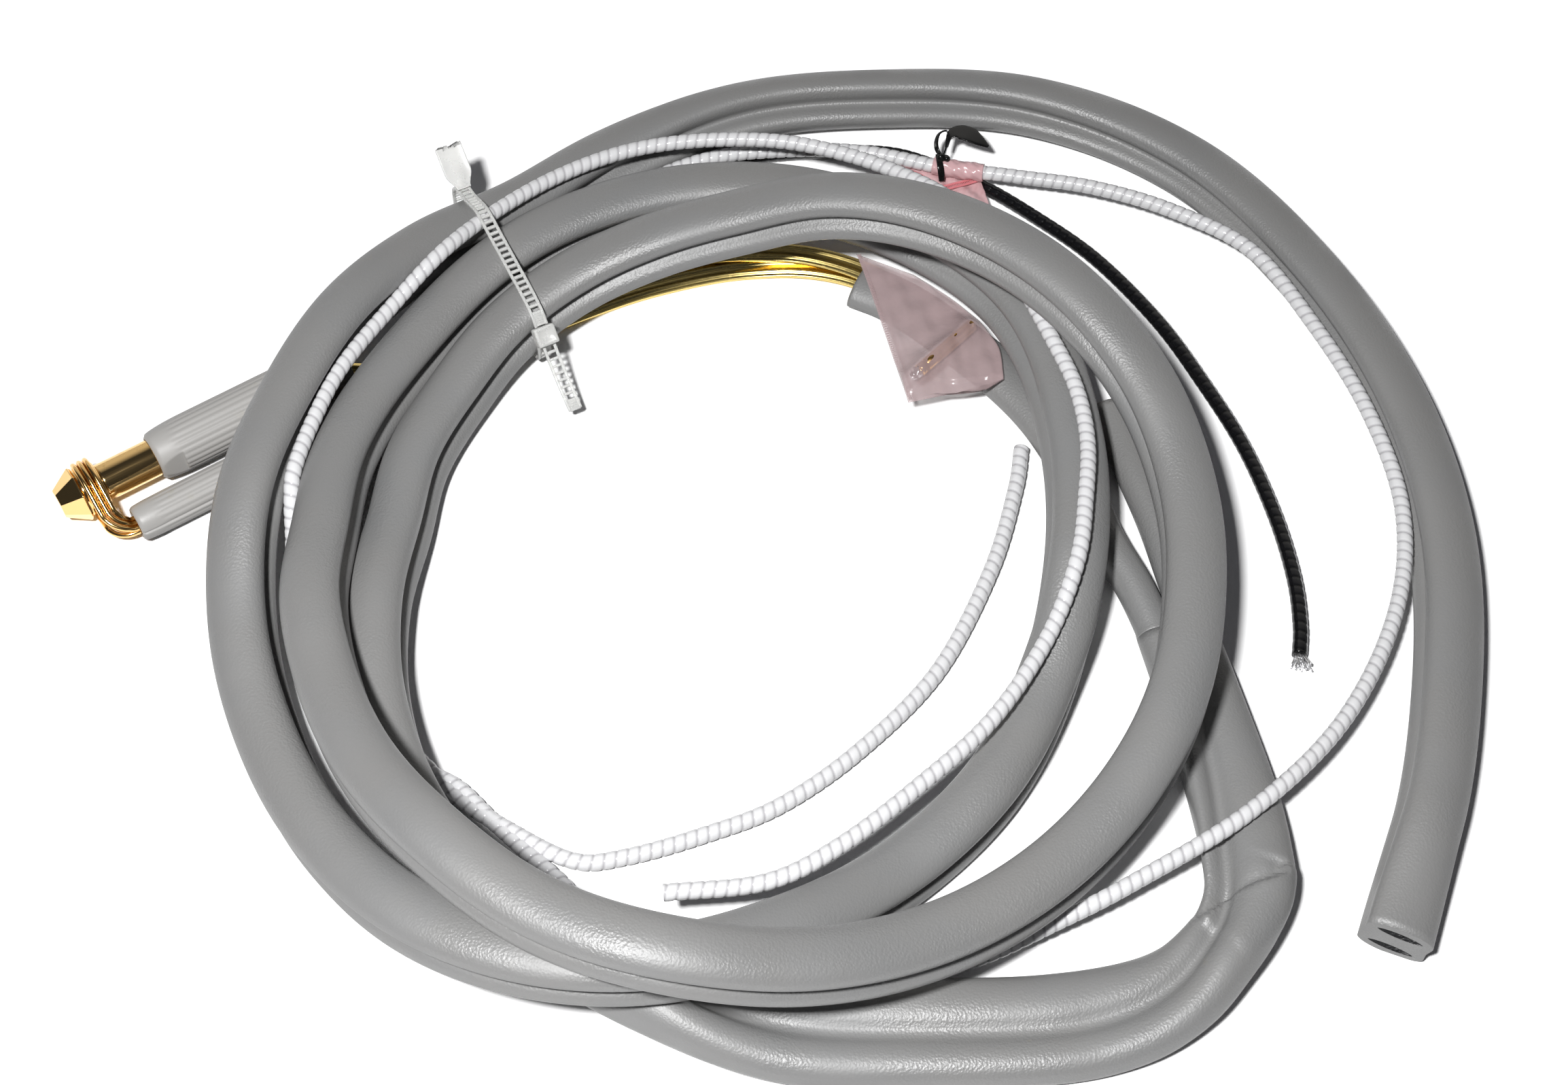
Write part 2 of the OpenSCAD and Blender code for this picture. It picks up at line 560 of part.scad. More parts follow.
module guide_bush() {
    color("peru")
    at_head()
    turned([[bush_x, tube_d / 2 + slide_play], [bush_x, bush_d / 2], [chamber_x, bush_d / 2],
        [chamber_x, tube_d / 2 + slide_play]]);
}

// A closed-end compression spring between the bush and the seat
module return_spring() {
    r = (tube_d + chamber_d) / 4;
    length = seat_x - chamber_x - spring_wire;
    per_turn = 16;
    count = spring_turns * per_turn;
    color("silver")
    at_head()
    translate([chamber_x + spring_wire / 2, 0, 0])
    swept([for (i = [0:count])
        let (a = i * 360 / per_turn,
             rise = length / count,
             run = 2 * PI * r / per_turn,
             c = [i * rise, r * cos(a), r * sin(a)],
             along = unit([rise, -run * sin(a), run * cos(a)]),
             out = [0, cos(a), sin(a)],
             up = cross(out, along))
        [for (p = oval_outline(spring_wire / 2, spring_wire / 2, 6)) c + p[0] * out + p[1] * up]]);
}

module plunger_tube() {
    r = tube_d / 2;
    color("gold")
    at_head()
    turned([[tube_x, r - tube_wall], [tube_x, r], [tube_x + tube_len, r], [tube_x + tube_len, r - tube_wall]]);
}

// The nose: an eight-sided taper, a turned neck for the wire, and a spigot into the tube
module nose_cone() {
    spigot = 9;
    color("gold")
    at_head() {
        rotate([0, 90, 0]) rotate([0, 0, 22.5])
            cylinder(d1 = nose_tip_d, d2 = nose_shoulder_d, h = nose_len, $fn = 8);
        turned([[neck_x - 1, 0], [neck_x - 1, neck_d / 2], [tube_x - 0.6, neck_d / 2], [tube_x, neck_d / 2 - 0.6],
            [tube_x, tube_d / 2 - tube_wall], [tube_x + spigot, tube_d / 2 - tube_wall], [tube_x + spigot, 0]]);
    }
}

module spring_seat() {
    r = tube_d / 2;
    color("silver")
    at_head()
    turned([[seat_x, r], [seat_x, seat_d / 2 - slide_play], [seat_x + seat_len, seat_d / 2 - slide_play],
        [seat_x + seat_len, r]]);
}

// The link: each strand comes out of the lower grip, bends up to the neck, goes round it and back
wire_pitch = wire_d + 0.25;
wire_turn_r = neck_d / 2 + wire_d / 2 + 0.12;
wire_leave = [122, -112];
wire_bend_r = 3.6;
bend_x = neck_x + 1.4 + 2 * wire_pitch + wire_bend_r;
bend_y = wire_pitch - grip_spacing + wire_bend_r;
function wire_row_z(side) = lower_z + side * wire_pitch / 2;
// Height of a strand that leaves the neck tangentially, where its bend starts
function wire_bend_z(a) = wire_turn_r * sin(a) + (bend_y - wire_turn_r * cos(a)) * -cos(a) / sin(a);
// A quarter bend of strand k, from the grip's side to the neck's
function wire_bend(k, side) =
    let (r = wire_bend_r + (2 - k) * wire_pitch, top = wire_bend_z(side > 0 ? wire_leave[0] : wire_leave[1]))
    [for (i = [0:5]) let (q = 90 * i / 5)
        [bend_x - r * sin(q), bend_y - r * cos(q), wire_row_z(side) + (top - wire_row_z(side)) * i / 5]];
function backwards(list) = [for (i = [len(list) - 1:-1:0]) list[i]];
function wire_leg(k, side) = concat(
    [for (x = [slider_x, 32, bend_x + 4]) [x, (k - 1) * wire_pitch - grip_spacing, wire_row_z(side)]],
    wire_bend(k, side));
function wire_route(k) = concat(
    wire_leg(k, 1),
    [for (i = [0:10]) let (q = wire_leave[0] + (wire_leave[1] - wire_leave[0]) * i / 10)
        [neck_x + 1.4 + k * wire_pitch, wire_turn_r * cos(q), wire_turn_r * sin(q)]],
    backwards(wire_leg(k, -1)));
module link_wire() {
    color("goldenrod") at_head() for (k = [0:2]) wire_sweep(wire_route(k));
}
module wire_sweep(route) {
    tab = indexed(route);
    last = len(route) - 1;
    swept([for (t = steps(0, last, 2 * last))
        let (c = route_point(tab, t), along = route_along(tab, t), out = unit(cross(along, [0.3, 0.1, 1])),
             up = cross(out, along))
        [for (p = oval_outline(wire_d / 2, wire_d / 2, 8)) c + p[0] * out + p[1] * up]]);
}

module link_slider() {
    color("silver")
    at_lower()
    turned([[slider_x, 0], [slider_x, slider_d / 2], [slider_x + slider_len, slider_d / 2],
        [slider_x + slider_len, 0]]);
}

// ---- Cables ----
module white_cable() {
    color("white") swept(route_rings(white_route, oval_outline(white_d / 2, white_d / 2, 8), 1));
}

module black_cable() {
    color("black") swept(route_rings(black_route, oval_outline(black_d / 2, black_d / 2, 8), 1));
}

// Bare shield wires at the black cable's cut end
module black_cable_braid() {
    start = black_route[0];
    color("silver")
    translate(start) {
        rotate([90, 0, 0]) cylinder(d = black_d * 0.6, h = 3.5);
        for (q = [-14, 6, 20]) rotate([90, 0, q]) translate([0.6, 0, 0]) cylinder(d = 1, h = 6 - abs(q) * 0.08);
    }
}

// ---- Parts bag ----
bag_pouch = [[33.5, 107.5, 11.2], [49.5, 43.5, 11.2], [63, 44, 11.2], [82, 53.5, 11.2], [81, 66, 11.2],
    [69, 84, 11.2], [53, 98, 11.2]];
bag_neck_z = 5.8;
module bag_film() {
    color("mistyrose") {
        translate([0, 0, bag_pouch[0][2]]) linear_extrude(bag_t) polygon([for (p = bag_pouch) [p[0], p[1]]]);
    }
}
zip_at = [60, 146];
zip_len = 28;
zip_w = 2.2;
module bag_zip_strip() {
    color("lightcoral")
    translate([zip_at[0], zip_at[1], bag_neck_z]) rotate(-6) cube([zip_len, zip_w, bag_t], center = true);
}
twist_at = [67.5, 155.5];
twist_d = 2.4;
twist_h = 10;
module bag_twist_tie() {
    color("black")
    translate([twist_at[0], twist_at[1], bag_neck_z]) cylinder(d = twist_d, h = twist_h);
}
pin_at = [[73, 75], [50.8, 51.6]];
module at_pin() {
    d = pin_at[0] - pin_at[1];
    translate([pin_at[1][0], pin_at[1][1], bag_pouch[0][2] + bag_t + pin_d / 2])
        rotate([0, 0, atan2(d[1], d[0])]) children();
}
module spare_pin_body() {
    color("darkgoldenrod") at_pin() translate([4, 0, 0]) rotate([0, 90, 0]) cylinder(d = pin_d, h = pin_len);
}
module spare_pin_tip() {
    r = pin_d / 2;
    color("silver") at_pin() turned([[0, 0], [0.4, r * 0.6], [1.4, r * 0.7], [1.8, r * 0.6], [2.4, r * 0.85],
        [4, r * 0.85], [4, 0]]);
}

sheath_cut_end();
sheath_coil();
sheath_outer_run();
sheath_kinked_run();
sheath_cut_stub();
sheath_end_tube();
cable_tie_strap();
cable_tie_head();
cable_tie_tail();
cable_tie_paddle();
front_strip();
rear_strip();
upper_grip();
lower_grip();
upper_grip_plug();
lower_grip_plug();
guide_bush();
return_spring();
plunger_tube();
nose_cone();
spring_seat();
link_wire();
link_slider();
white_cable();
black_cable();
black_cable_braid();
bag_film();
bag_zip_strip();
bag_twist_tie();
spare_pin_body();
spare_pin_tip();
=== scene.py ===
"""Twin-bore cable release, put away in a hand-wound coil.

A grey vinyl sheath of two joined tubes lies in three turns on a pale table. Two brass strips
come out of its end tube and run under the coil to a pair of ribbed grips, where a gilt plunger
with a faceted nose is hooked by a wound wire link. A cable tie holds the coil. A white and a
black spiral-wrapped cable and a small bag with a spare pin lie loose in it.

Lengths in the layout tables are millimetres, and everything built from them is in metres.
"""
from __future__ import annotations

import json
import logging
import math
import random
from dataclasses import dataclass, field
from enum import Enum
from typing import Callable, Dict, List, Optional, Sequence, Tuple

import bmesh
import bpy
import numpy as np
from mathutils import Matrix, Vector

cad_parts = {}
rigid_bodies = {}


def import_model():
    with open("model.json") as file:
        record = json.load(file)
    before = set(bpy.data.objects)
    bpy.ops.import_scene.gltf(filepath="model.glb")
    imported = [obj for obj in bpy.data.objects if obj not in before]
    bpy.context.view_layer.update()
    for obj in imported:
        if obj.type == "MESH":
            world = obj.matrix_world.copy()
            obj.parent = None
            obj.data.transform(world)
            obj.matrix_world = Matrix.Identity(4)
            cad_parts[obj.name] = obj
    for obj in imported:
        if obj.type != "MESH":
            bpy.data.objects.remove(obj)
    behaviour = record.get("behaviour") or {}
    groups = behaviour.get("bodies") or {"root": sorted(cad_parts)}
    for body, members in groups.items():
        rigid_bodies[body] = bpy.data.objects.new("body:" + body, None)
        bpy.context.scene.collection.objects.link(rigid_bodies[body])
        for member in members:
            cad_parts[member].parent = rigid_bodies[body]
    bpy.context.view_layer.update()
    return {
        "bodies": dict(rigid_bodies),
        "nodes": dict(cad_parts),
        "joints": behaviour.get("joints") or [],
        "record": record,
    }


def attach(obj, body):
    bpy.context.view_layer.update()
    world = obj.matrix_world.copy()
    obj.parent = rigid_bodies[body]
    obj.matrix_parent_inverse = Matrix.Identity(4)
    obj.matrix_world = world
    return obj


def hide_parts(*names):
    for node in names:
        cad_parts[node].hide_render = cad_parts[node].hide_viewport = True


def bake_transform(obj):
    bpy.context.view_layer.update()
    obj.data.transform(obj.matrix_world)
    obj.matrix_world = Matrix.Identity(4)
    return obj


LOG = logging.getLogger("cable_release")
MM = 0.001
FLOOR = 0.0
MAP_UNIT = 10 * MM  # length along a skin for each unit of U on its map
Rows = Sequence[Sequence[float]]
Colour = Tuple[float, float, float]


# ---------------------------------------------------------------- layout of the hand-laid parts
COIL_CENTRE = (-7.0, -8.0)
OVAL_W, OVAL_H = 9.3, 5.2
FOOT_FLAT = 0.5
FLOOR_Z = 2 * OVAL_H - FOOT_FLAT
LAYER_H = 4 * OVAL_H + 1.0
CUT_END_LEN = 34.0

# Angle, radius, layer, lean of the strand's top outwards
COIL_ROUTE = (
    (-28, 233.5, 0, 8), (-15, 228.5, 0, 8), (0, 227.5, 0, 10), (30, 225, 0, 12),
    (45, 224.5, 0, 15), (60, 214.5, 0.03, 25), (75, 196.5, 0.05, 35), (90, 183.5, 0.05, 35),
    (105, 168.5, 0.05, 18), (120, 156.5, 0.1, 4), (135, 153, 0.52, 2), (150, 150.5, 0.9, 4),
    (165, 151, 0.9, 6), (180, 155, 0.85, 8), (195, 158.8, 0.45, 10), (210, 162, 0.35, 8),
    (225, 166.5, 0.6, 4), (240, 170, 1, 0), (262, 161, 1.05, 0), (275, 146.5, 0.6, 0),
    (290, 132, 0.06, 0), (310, 120.5, 0, 0), (330, 111.5, 0.04, 0), (340, 109.5, 0.26, 4),
    (350, 108.5, 0.5, 6), (360, 109, 0.54, 6), (375, 112.5, 0.54, 8), (405, 127, 0.52, 12),
    (420, 131, 0.5, 10), (450, 136.5, 0.45, 6), (480, 134.5, 0.43, 2), (510, 129.5, 0.3, 4),
    (530, 130.2, 0.5, 6), (545, 130.5, 0.8, 6), (558, 135.6, 1.1, 6), (570, 140, 1.2, 4),
    (585, 147.5, 1.6, 2), (597, 154.5, 2.05, 0), (612, 163, 2.12, 0), (625, 167, 2.1, 0),
    (637, 166.5, 1.65, 0), (650, 163, 1.12, 0), (665, 159, 0.85, 0), (690, 152, 0.97, 0),
    (705, 146, 1.03, 0), (720, 141.5, 1.1, 0), (735, 136, 1.4, 0), (748, 129.5, 1.7, 0),
    (770, 121.5, 1.78, 0), (795, 113, 1.6, 5), (810, 109.5, 1.2, 5), (825, 109.5, 0.85, 5),
    (840, 111, 0.52, 4), (855, 111, 0.25, 6), (870, 109, 0.08, 8), (885, 109.5, 0.05, 10),
    (900, 109.7, 0.08, 11), (915, 116.8, 0.3, 6), (930, 127, 0.3, 4), (945, 138, 0.26, 2),
    (962, 150, 0.04, 0))

# The run past the coil: x, y, lean, width share, height share, lift
RUN_ROUTE = (
    (-52, -157.5, 16, 0.98, 1.03, 0), (-35, -165.5, 44, 0.9, 1.15, 0),
    (-17, -171.5, 68, 0.8, 1.32, 0), (1, -175, 82, 0.71, 1.5, 0),
    (19, -176.5, 88, 0.68, 1.58, 0), (43, -176.5, 90, 0.67, 1.58, 0),
    (75, -176, 90, 0.67, 1.58, 0), (95, -174.5, 90, 0.68, 1.56, 0),
    (113, -171.5, 84, 0.72, 1.48, 0), (127, -166.5, 74, 0.78, 1.34, 0),
    (137, -159, 64, 0.84, 1.22, 0.4), (145, -149, 60, 0.82, 1.2, 0.6),
    (149, -137, 64, 0.79, 1.26, 0.4), (148, -122, 76, 0.74, 1.3, 0),
    (144.5, -98, 86, 0.68, 1.31, 0), (138.5, -68, 90, 0.64, 1.27, 0),
    (132.5, -42, 90, 0.62, 1.23, 0))

# Each tube past the split: x, y, width share, height share
STUB_ROUTE = (
    (138.7, -40.6, 0.62, 1.23), (137.6, -35.7, 0.62, 1.23), (134.2, -22, 0.66, 1.2),
    (129.5, 0, 0.7, 1.15), (123.5, 22, 0.72, 1.1), (117, 46, 0.74, 1.06))
END_TUBE_ROUTE = (
    (126.3, -43.4, 0.62, 1.23), (125.2, -38.8, 0.62, 1.23), (120, -24, 0.68, 1.18),
    (112, -6, 0.78, 1.08), (106, 14, 0.88, 1.02), (101, 31, 0.95, 1), (92.5, 47, 1, 1),
    (80, 62.5, 1, 1), (66, 76.5, 1, 1), (54, 87.5, 1, 1), (44, 94.5, 1, 1), (34, 99.5, 1, 1))
END_BORE_ROW = 8
TURN_ROWS = 5

# White and black cables: x, y, height
WHITE_ROUTE = (
    (-27, -141, 24), (3, -137.5, 24), (25, -125.5, 24), (49, -105.5, 24), (71, -84, 24.5),
    (89, -56.5, 26), (99, -33, 33.7), (103, -10, 35.4), (105, 12, 35), (102.5, 33, 35.2),
    (95.5, 54, 35.2), (87, 76, 35), (77, 100, 33), (65, 120, 27.5), (49, 134, 24),
    (31, 143.5, 23), (7, 150, 23), (-21, 150.5, 23), (-47, 145.5, 23), (-70, 133, 24.5),
    (-90, 114.5, 28), (-106.8, 91, 34), (-123.2, 70.6, 29.4), (-137.3, 44.8, 30.1),
    (-144.6, 22.7, 29.9), (-148.6, 4, 29.6), (-148.9, -5.5, 26.4), (-148.5, -14.5, 20.5),
    (-145.5, -45, 8.5), (-133, -73, 3), (-114, -87, 2.8), (-95, -94, 2.8), (-81, -107, 2.8),
    (-63, -124, 2.8), (-39, -146, 2.8), (-12, -154.5, 2.8), (18, -157, 2.8), (41, -157.5, 3.4),
    (64.5, -153.5, 6), (87.5, -144.5, 11), (110.5, -133.5, 14.5), (147.5, -111, 17.3),
    (179.5, -79, 15), (201.5, -38.5, 12.5), (209.3, 1.5, 11), (203, 41, 11.2), (188.6, 79, 11),
    (171, 109, 12.5), (145, 127, 12.5), (118.5, 138, 12), (92, 144, 11), (65, 150, 9.4),
    (37, 157.5, 9), (9, 158.5, 9), (-19, 154.5, 9), (-44.5, 142.5, 8), (-67.6, 125.5, 6),
    (-88, 108.8, 5), (-107, 90, 5), (-120.4, 72.2, 5.9), (-132.4, 52.2, 6.6),
    (-140.2, 30.5, 6.2), (-143.5, 8, 4), (-140, -22, 2.8), (-133, -50, 2.8), (-120, -71, 2.8),
    (-105, -86, 2.8), (-92, -99, 2.8), (-77, -109.5, 2.8), (-56, -120.5, 2.8),
    (-40, -119.5, 2.8), (-16, -112, 2.8), (7, -102, 2.8), (31.5, -83, 2.8), (56.5, -55, 2.8),
    (75, -17.5, 2.8), (84.5, 14, 2.8), (87.5, 31, 2.8))
BLACK_ROUTE = (
    (171.5, -49, 2.7), (173, -38, 2.7), (173, -20, 2.7), (169.5, 4, 2.7), (162, 32, 2.7),
    (151, 58.5, 2.7), (137.5, 85.5, 2.7), (118, 113, 2.7), (97, 133, 2.7), (78, 148, 2.7),
    (61, 157.5, 2.7), (44, 163, 2.7), (16, 163, 2.7), (-9, 159.5, 2.7), (-28.5, 153.5, 2.7))

# The head's places along its axis from the nose's tip
HEAD_AT = (-228.5, 3.4)
HEAD_ANGLE = 33.4
HEAD_Z = 10.5
GRIP_SPACING = 18.6
LOWER_DROP = 3.6


# ---------------------------------------------------------------- reading tables and sweeping
@dataclass(frozen=True)
class SmoothTable:
    """Rows of numbers that are read smoothly between their stations."""

    stations: np.ndarray
    rows: np.ndarray

    @classmethod
    def keyed(cls, rows: Rows) -> "SmoothTable":
        """Takes the first column of each row as its station."""
        table = np.array(rows, float)
        return cls(table[:, 0], table[:, 1:])

    @classmethod
    def spaced(cls, rows: Rows) -> "SmoothTable":
        """Numbers the rows 0, 1, 2 and on."""
        table = np.array(rows, float)
        return cls(np.arange(len(table), dtype=float), table)

    @property
    def last(self) -> float:
        """The last station."""
        return float(self.stations[-1])

    def _slopes(self) -> np.ndarray:
        """Slope at each row, from the parabola through it and its two neighbours."""
        step = np.diff(self.stations)[:, None]
        rise = np.diff(self.rows, axis=0)
        slopes = np.empty_like(self.rows)
        slopes[0], slopes[-1] = rise[0] / step[0], rise[-1] / step[-1]
        before, after = step[:-1], step[1:]
        slopes[1:-1] = (
            before * before * self.rows[2:]
            + (after * after - before * before) * self.rows[1:-1]
            - after * after * self.rows[:-2]
        ) / (before * after * (before + after))
        return slopes

    def at(self, stations: np.ndarray) -> np.ndarray:
        """Reads the table.

        Args:
            stations: where to read it.

        Returns:
            One row of numbers for each station.
        """
        where = np.atleast_1d(np.asarray(stations, float))
        low = np.searchsorted(self.stations, where, side="right") - 1
        low = np.clip(low, 0, len(self.rows) - 2)
        step = (self.stations[low + 1] - self.stations[low])[:, None]
        s = (where - self.stations[low])[:, None] / step
        slopes = self._slopes()
        return (
            (2 * s**3 - 3 * s**2 + 1) * self.rows[low]
            + (s**3 - 2 * s**2 + s) * step * slopes[low]
            + (3 * s**2 - 2 * s**3) * self.rows[low + 1]
            + (s**3 - s**2) * step * slopes[low + 1]
        )


def smooth_rows(rows: Rows, count: int) -> np.ndarray:
    """Reads rows smoothly at a count of even places, from the first row to the last."""
    table = SmoothTable.spaced(rows)
    return table.at(np.linspace(0, table.last, count))


def circle(count: int) -> np.ndarray:
    """A count of even angles, once round."""
    return np.linspace(0, 2 * math.pi, count, endpoint=False)


def add_to_scene(name: str, data: Optional[bpy.types.ID]) -> bpy.types.Object:
    """A new object in the scene, unturned at the origin."""
    made = bpy.data.objects.new(name, data)
    bpy.context.scene.collection.objects.link(made)
    return made


def mesh_of(shape: bmesh.types.BMesh, name: str) -> bpy.types.Mesh:
    """Turns a BMesh into a smooth mesh and frees it."""
    mesh = bpy.data.meshes.new(name)
    shape.to_mesh(mesh)
    shape.free()
    mesh.polygons.foreach_set("use_smooth", [True] * len(mesh.polygons))
    return mesh


def sorted_mesh_of(shape: bmesh.types.BMesh, name: str) -> bpy.types.Mesh:
    """The same with the faces in a fixed order, as a wide bevel's own order isn't fixed."""
    shape.verts.index_update()
    faces = []
    for face in shape.faces:
        ring = [vertex.index for vertex in face.verts]
        low = ring.index(min(ring))
        faces.append(ring[low:] + ring[:low])
    mesh = bpy.data.meshes.new(name)
    mesh.from_pydata([vertex.co for vertex in shape.verts], [], sorted(faces))
    shape.free()
    mesh.polygons.foreach_set("use_smooth", [True] * len(mesh.polygons))
    return mesh


def unit(vectors: np.ndarray) -> np.ndarray:
    """Scales each vector to length 1."""
    return vectors / np.maximum(np.linalg.norm(vectors, axis=-1, keepdims=True), 1e-12)


def ease(value: np.ndarray) -> np.ndarray:
    """Smooth step of a value that is first held to 0..1."""
    held = np.clip(value, 0, 1)
    return held * held * (3 - 2 * held)


def arc_lengths(points: np.ndarray) -> np.ndarray:
    """Distance along a line of points, from its first point to each."""
    return np.concatenate([[0.0], np.cumsum(np.linalg.norm(np.diff(points, axis=0), axis=1))])


def read_rows(where: np.ndarray, run: np.ndarray, rows: np.ndarray) -> np.ndarray:
    """Reads rows that stand at known distances, straight between them."""
    return np.stack([np.interp(where, run, column) for column in rows.T], axis=1)


def even_line(points: np.ndarray, step: float) -> np.ndarray:
    """The same line with its points about a step apart."""
    run = arc_lengths(points)
    count = max(2, int(round(run[-1] / step)) + 1)
    return read_rows(np.linspace(0, run[-1], count), run, points)


def tangents(points: np.ndarray) -> np.ndarray:
    """Direction of travel at each point of a line."""
    return unit(np.gradient(points, axis=0))


def level_frames(points: np.ndarray, lean: np.ndarray) -> Tuple[np.ndarray, np.ndarray]:
    """Right-hand and up vectors of a section that leans over by some degrees.

    Args:
        points: the line that the section follows.
        lean: how far the section's top tips to the right, in degrees.

    Returns:
        The section's right-hand vectors and its up vectors.
    """
    along = tangents(points)
    right = unit(np.cross(along, [0.0, 0.0, 1.0]))
    up = np.cross(right, along)
    turn = np.radians(lean)[:, None]
    return right * np.cos(turn) - up * np.sin(turn), up * np.cos(turn) + right * np.sin(turn)


def turning_frames(points: np.ndarray, towards: Optional[Sequence[float]] = None
                   ) -> Tuple[np.ndarray, np.ndarray]:
    """Two vectors square to a line that twist as little as they can along it.

    Args:
        points: the line.
        towards: about where the first vector starts, or None for level.

    Returns:
        The side vectors and the vectors square to them.
    """
    along = tangents(points)
    if towards is not None:
        first = np.array(towards, float)
        first = first - along[0] * float(np.dot(first, along[0]))
    else:
        first = np.cross(along[0], [0.0, 0.0, 1.0])
        if np.linalg.norm(first) <= 0.1:
            first = np.cross(along[0], [1.0, 0.0, 0.0])
    side = [unit(first)]
    for direction in along[1:]:
        side.append(unit(side[-1] - direction * float(side[-1] @ direction)))
    sides = np.array(side)
    return sides, np.cross(sides, along)


class Skin:
    """Collects the vertices, faces and face maps of one mesh."""

    def __init__(self) -> None:
        """Starts empty."""
        self.points: List[np.ndarray] = []
        self.faces: List[Tuple[int, ...]] = []
        self.maps: List[Tuple[Tuple[float, float], ...]] = []
        self.hard: List[int] = []
        self.count = 0

    def add_points(self, points: np.ndarray) -> int:
        """Adds vertices and gives the number of the first."""
        first = self.count
        self.points.append(np.asarray(points, float).reshape(-1, 3))
        self.count += len(self.points[-1])
        return first

    def add_rings(self, rings: np.ndarray, along: Optional[np.ndarray] = None,
                  looped: bool = False) -> int:
        """Adds a skin of quads through closed rings of equal length.

        Args:
            rings: an array of rings, points and coordinates.
            along: each ring's place on the map, or None for its number.
            looped: whether the last ring joins the first.

        Returns:
            The number of the first vertex.
        """
        many, around = rings.shape[:2]
        place = np.arange(many, dtype=float) if along is None else np.asarray(along, float)
        first = self.add_points(rings)
        for i in range(many if looped else many - 1):
            j = (i + 1) % many
            ends = (place[i], place[j] if j else 2 * place[-1] - place[-2])
            for k in range(around):
                m = (k + 1) % around
                self.faces.append((
                    first + i * around + k, first + i * around + m,
                    first + j * around + m, first + j * around + k))
                near, far = k / around, (k + 1) / around
                self.maps.append(((ends[0], near), (ends[0], far), (ends[1], far), (ends[1], near)))
        return first

    def add_face(self, corners: Sequence[int], along: float = 0.0, hard: bool = False) -> None:
        """Adds one face with a bare map, flat shaded if it is hard."""
        if hard:
            self.hard.append(len(self.faces))
        self.faces.append(tuple(int(c) for c in corners))
        self.maps.append(tuple((along, 0.0) for _ in corners))

    def add_fan(self, loop: Sequence[int], middle: Sequence[float], along: float = 0.0) -> None:
        """Closes a loop of vertices with triangles to a point in its middle."""
        centre = self.add_points(np.array([middle]))
        for k, corner in enumerate(loop):
            self.add_face((corner, loop[(k + 1) % len(loop)], centre), along)

    def cap_rings(self, first: int, many: int, around: int) -> None:
        """Closes both ends of a tube that add_rings made."""
        start = [first + k for k in range(around)][::-1]
        finish = [first + (many - 1) * around + k for k in range(around)]
        every = np.concatenate(self.points)
        for loop in (start, finish):
            self.add_fan(loop, every[loop].mean(axis=0))

    def add_closed(self, rings: np.ndarray, along: Optional[np.ndarray] = None) -> None:
        """Adds a skin through rings with both its ends closed."""
        first = self.add_rings(rings, along)
        self.cap_rings(first, *rings.shape[:2])

    def mesh(self, name: str) -> bpy.types.Mesh:
        """Makes the Blender mesh, smooth and mapped, with its faces outwards."""
        mesh = bpy.data.meshes.new(name)
        mesh.from_pydata(np.concatenate(self.points).tolist(), [], self.faces)
        layer = mesh.uv_layers.new(name="UVMap")
        flat = [value for face in self.maps for corner in face for value in corner]
        layer.data.foreach_set("uv", flat)
        hard = set(self.hard)
        mesh.polygons.foreach_set("use_smooth", [k not in hard for k in range(len(self.faces))])
        shape = bmesh.new()
        shape.from_mesh(mesh)
        bmesh.ops.recalc_face_normals(shape, faces=shape.faces)
        shape.to_mesh(mesh)
        shape.free()
        return mesh


class Body(Enum):
    """The bodies that move by themselves."""

    ROOT = "root"
    PLUNGER = "plunger"
    LINK = "link"


@dataclass
class Workshop:
    """Keeps what every sub-assembly needs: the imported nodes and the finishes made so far."""

    nodes: Dict[str, bpy.types.Object]
    finishes: Dict[str, bpy.types.Material] = field(default_factory=dict)

    def finish(self, wanted: "Finish") -> bpy.types.Material:
        """The material of a finish, made once."""
        if wanted.name not in self.finishes:
            self.finishes[wanted.name] = wanted.build()
        return self.finishes[wanted.name]

    def place(
        self,
        name: str,
        mesh: bpy.types.Mesh,
        finish: "Finish",
        body: Optional[Body] = Body.ROOT,
        replaces: Sequence[str] = (),
    ) -> bpy.types.Object:
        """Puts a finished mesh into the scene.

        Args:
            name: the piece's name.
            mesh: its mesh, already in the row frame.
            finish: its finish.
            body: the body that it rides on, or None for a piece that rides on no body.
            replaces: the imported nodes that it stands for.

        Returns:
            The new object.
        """
        piece = add_to_scene(name, mesh)
        mesh.materials.clear()
        mesh.materials.append(self.finish(finish))
        if body:
            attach(piece, body.value)
        if replaces:
            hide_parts(*replaces)
        LOG.info("%s: %d faces", name, len(mesh.polygons))
        return piece

    def dress(self, node: str, finish: "Finish") -> None:
        """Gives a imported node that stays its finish."""
        piece = self.nodes[node]
        piece.data.materials.clear()
        piece.data.materials.append(self.finish(finish))
        LOG.info("%s: kept and dressed", node)


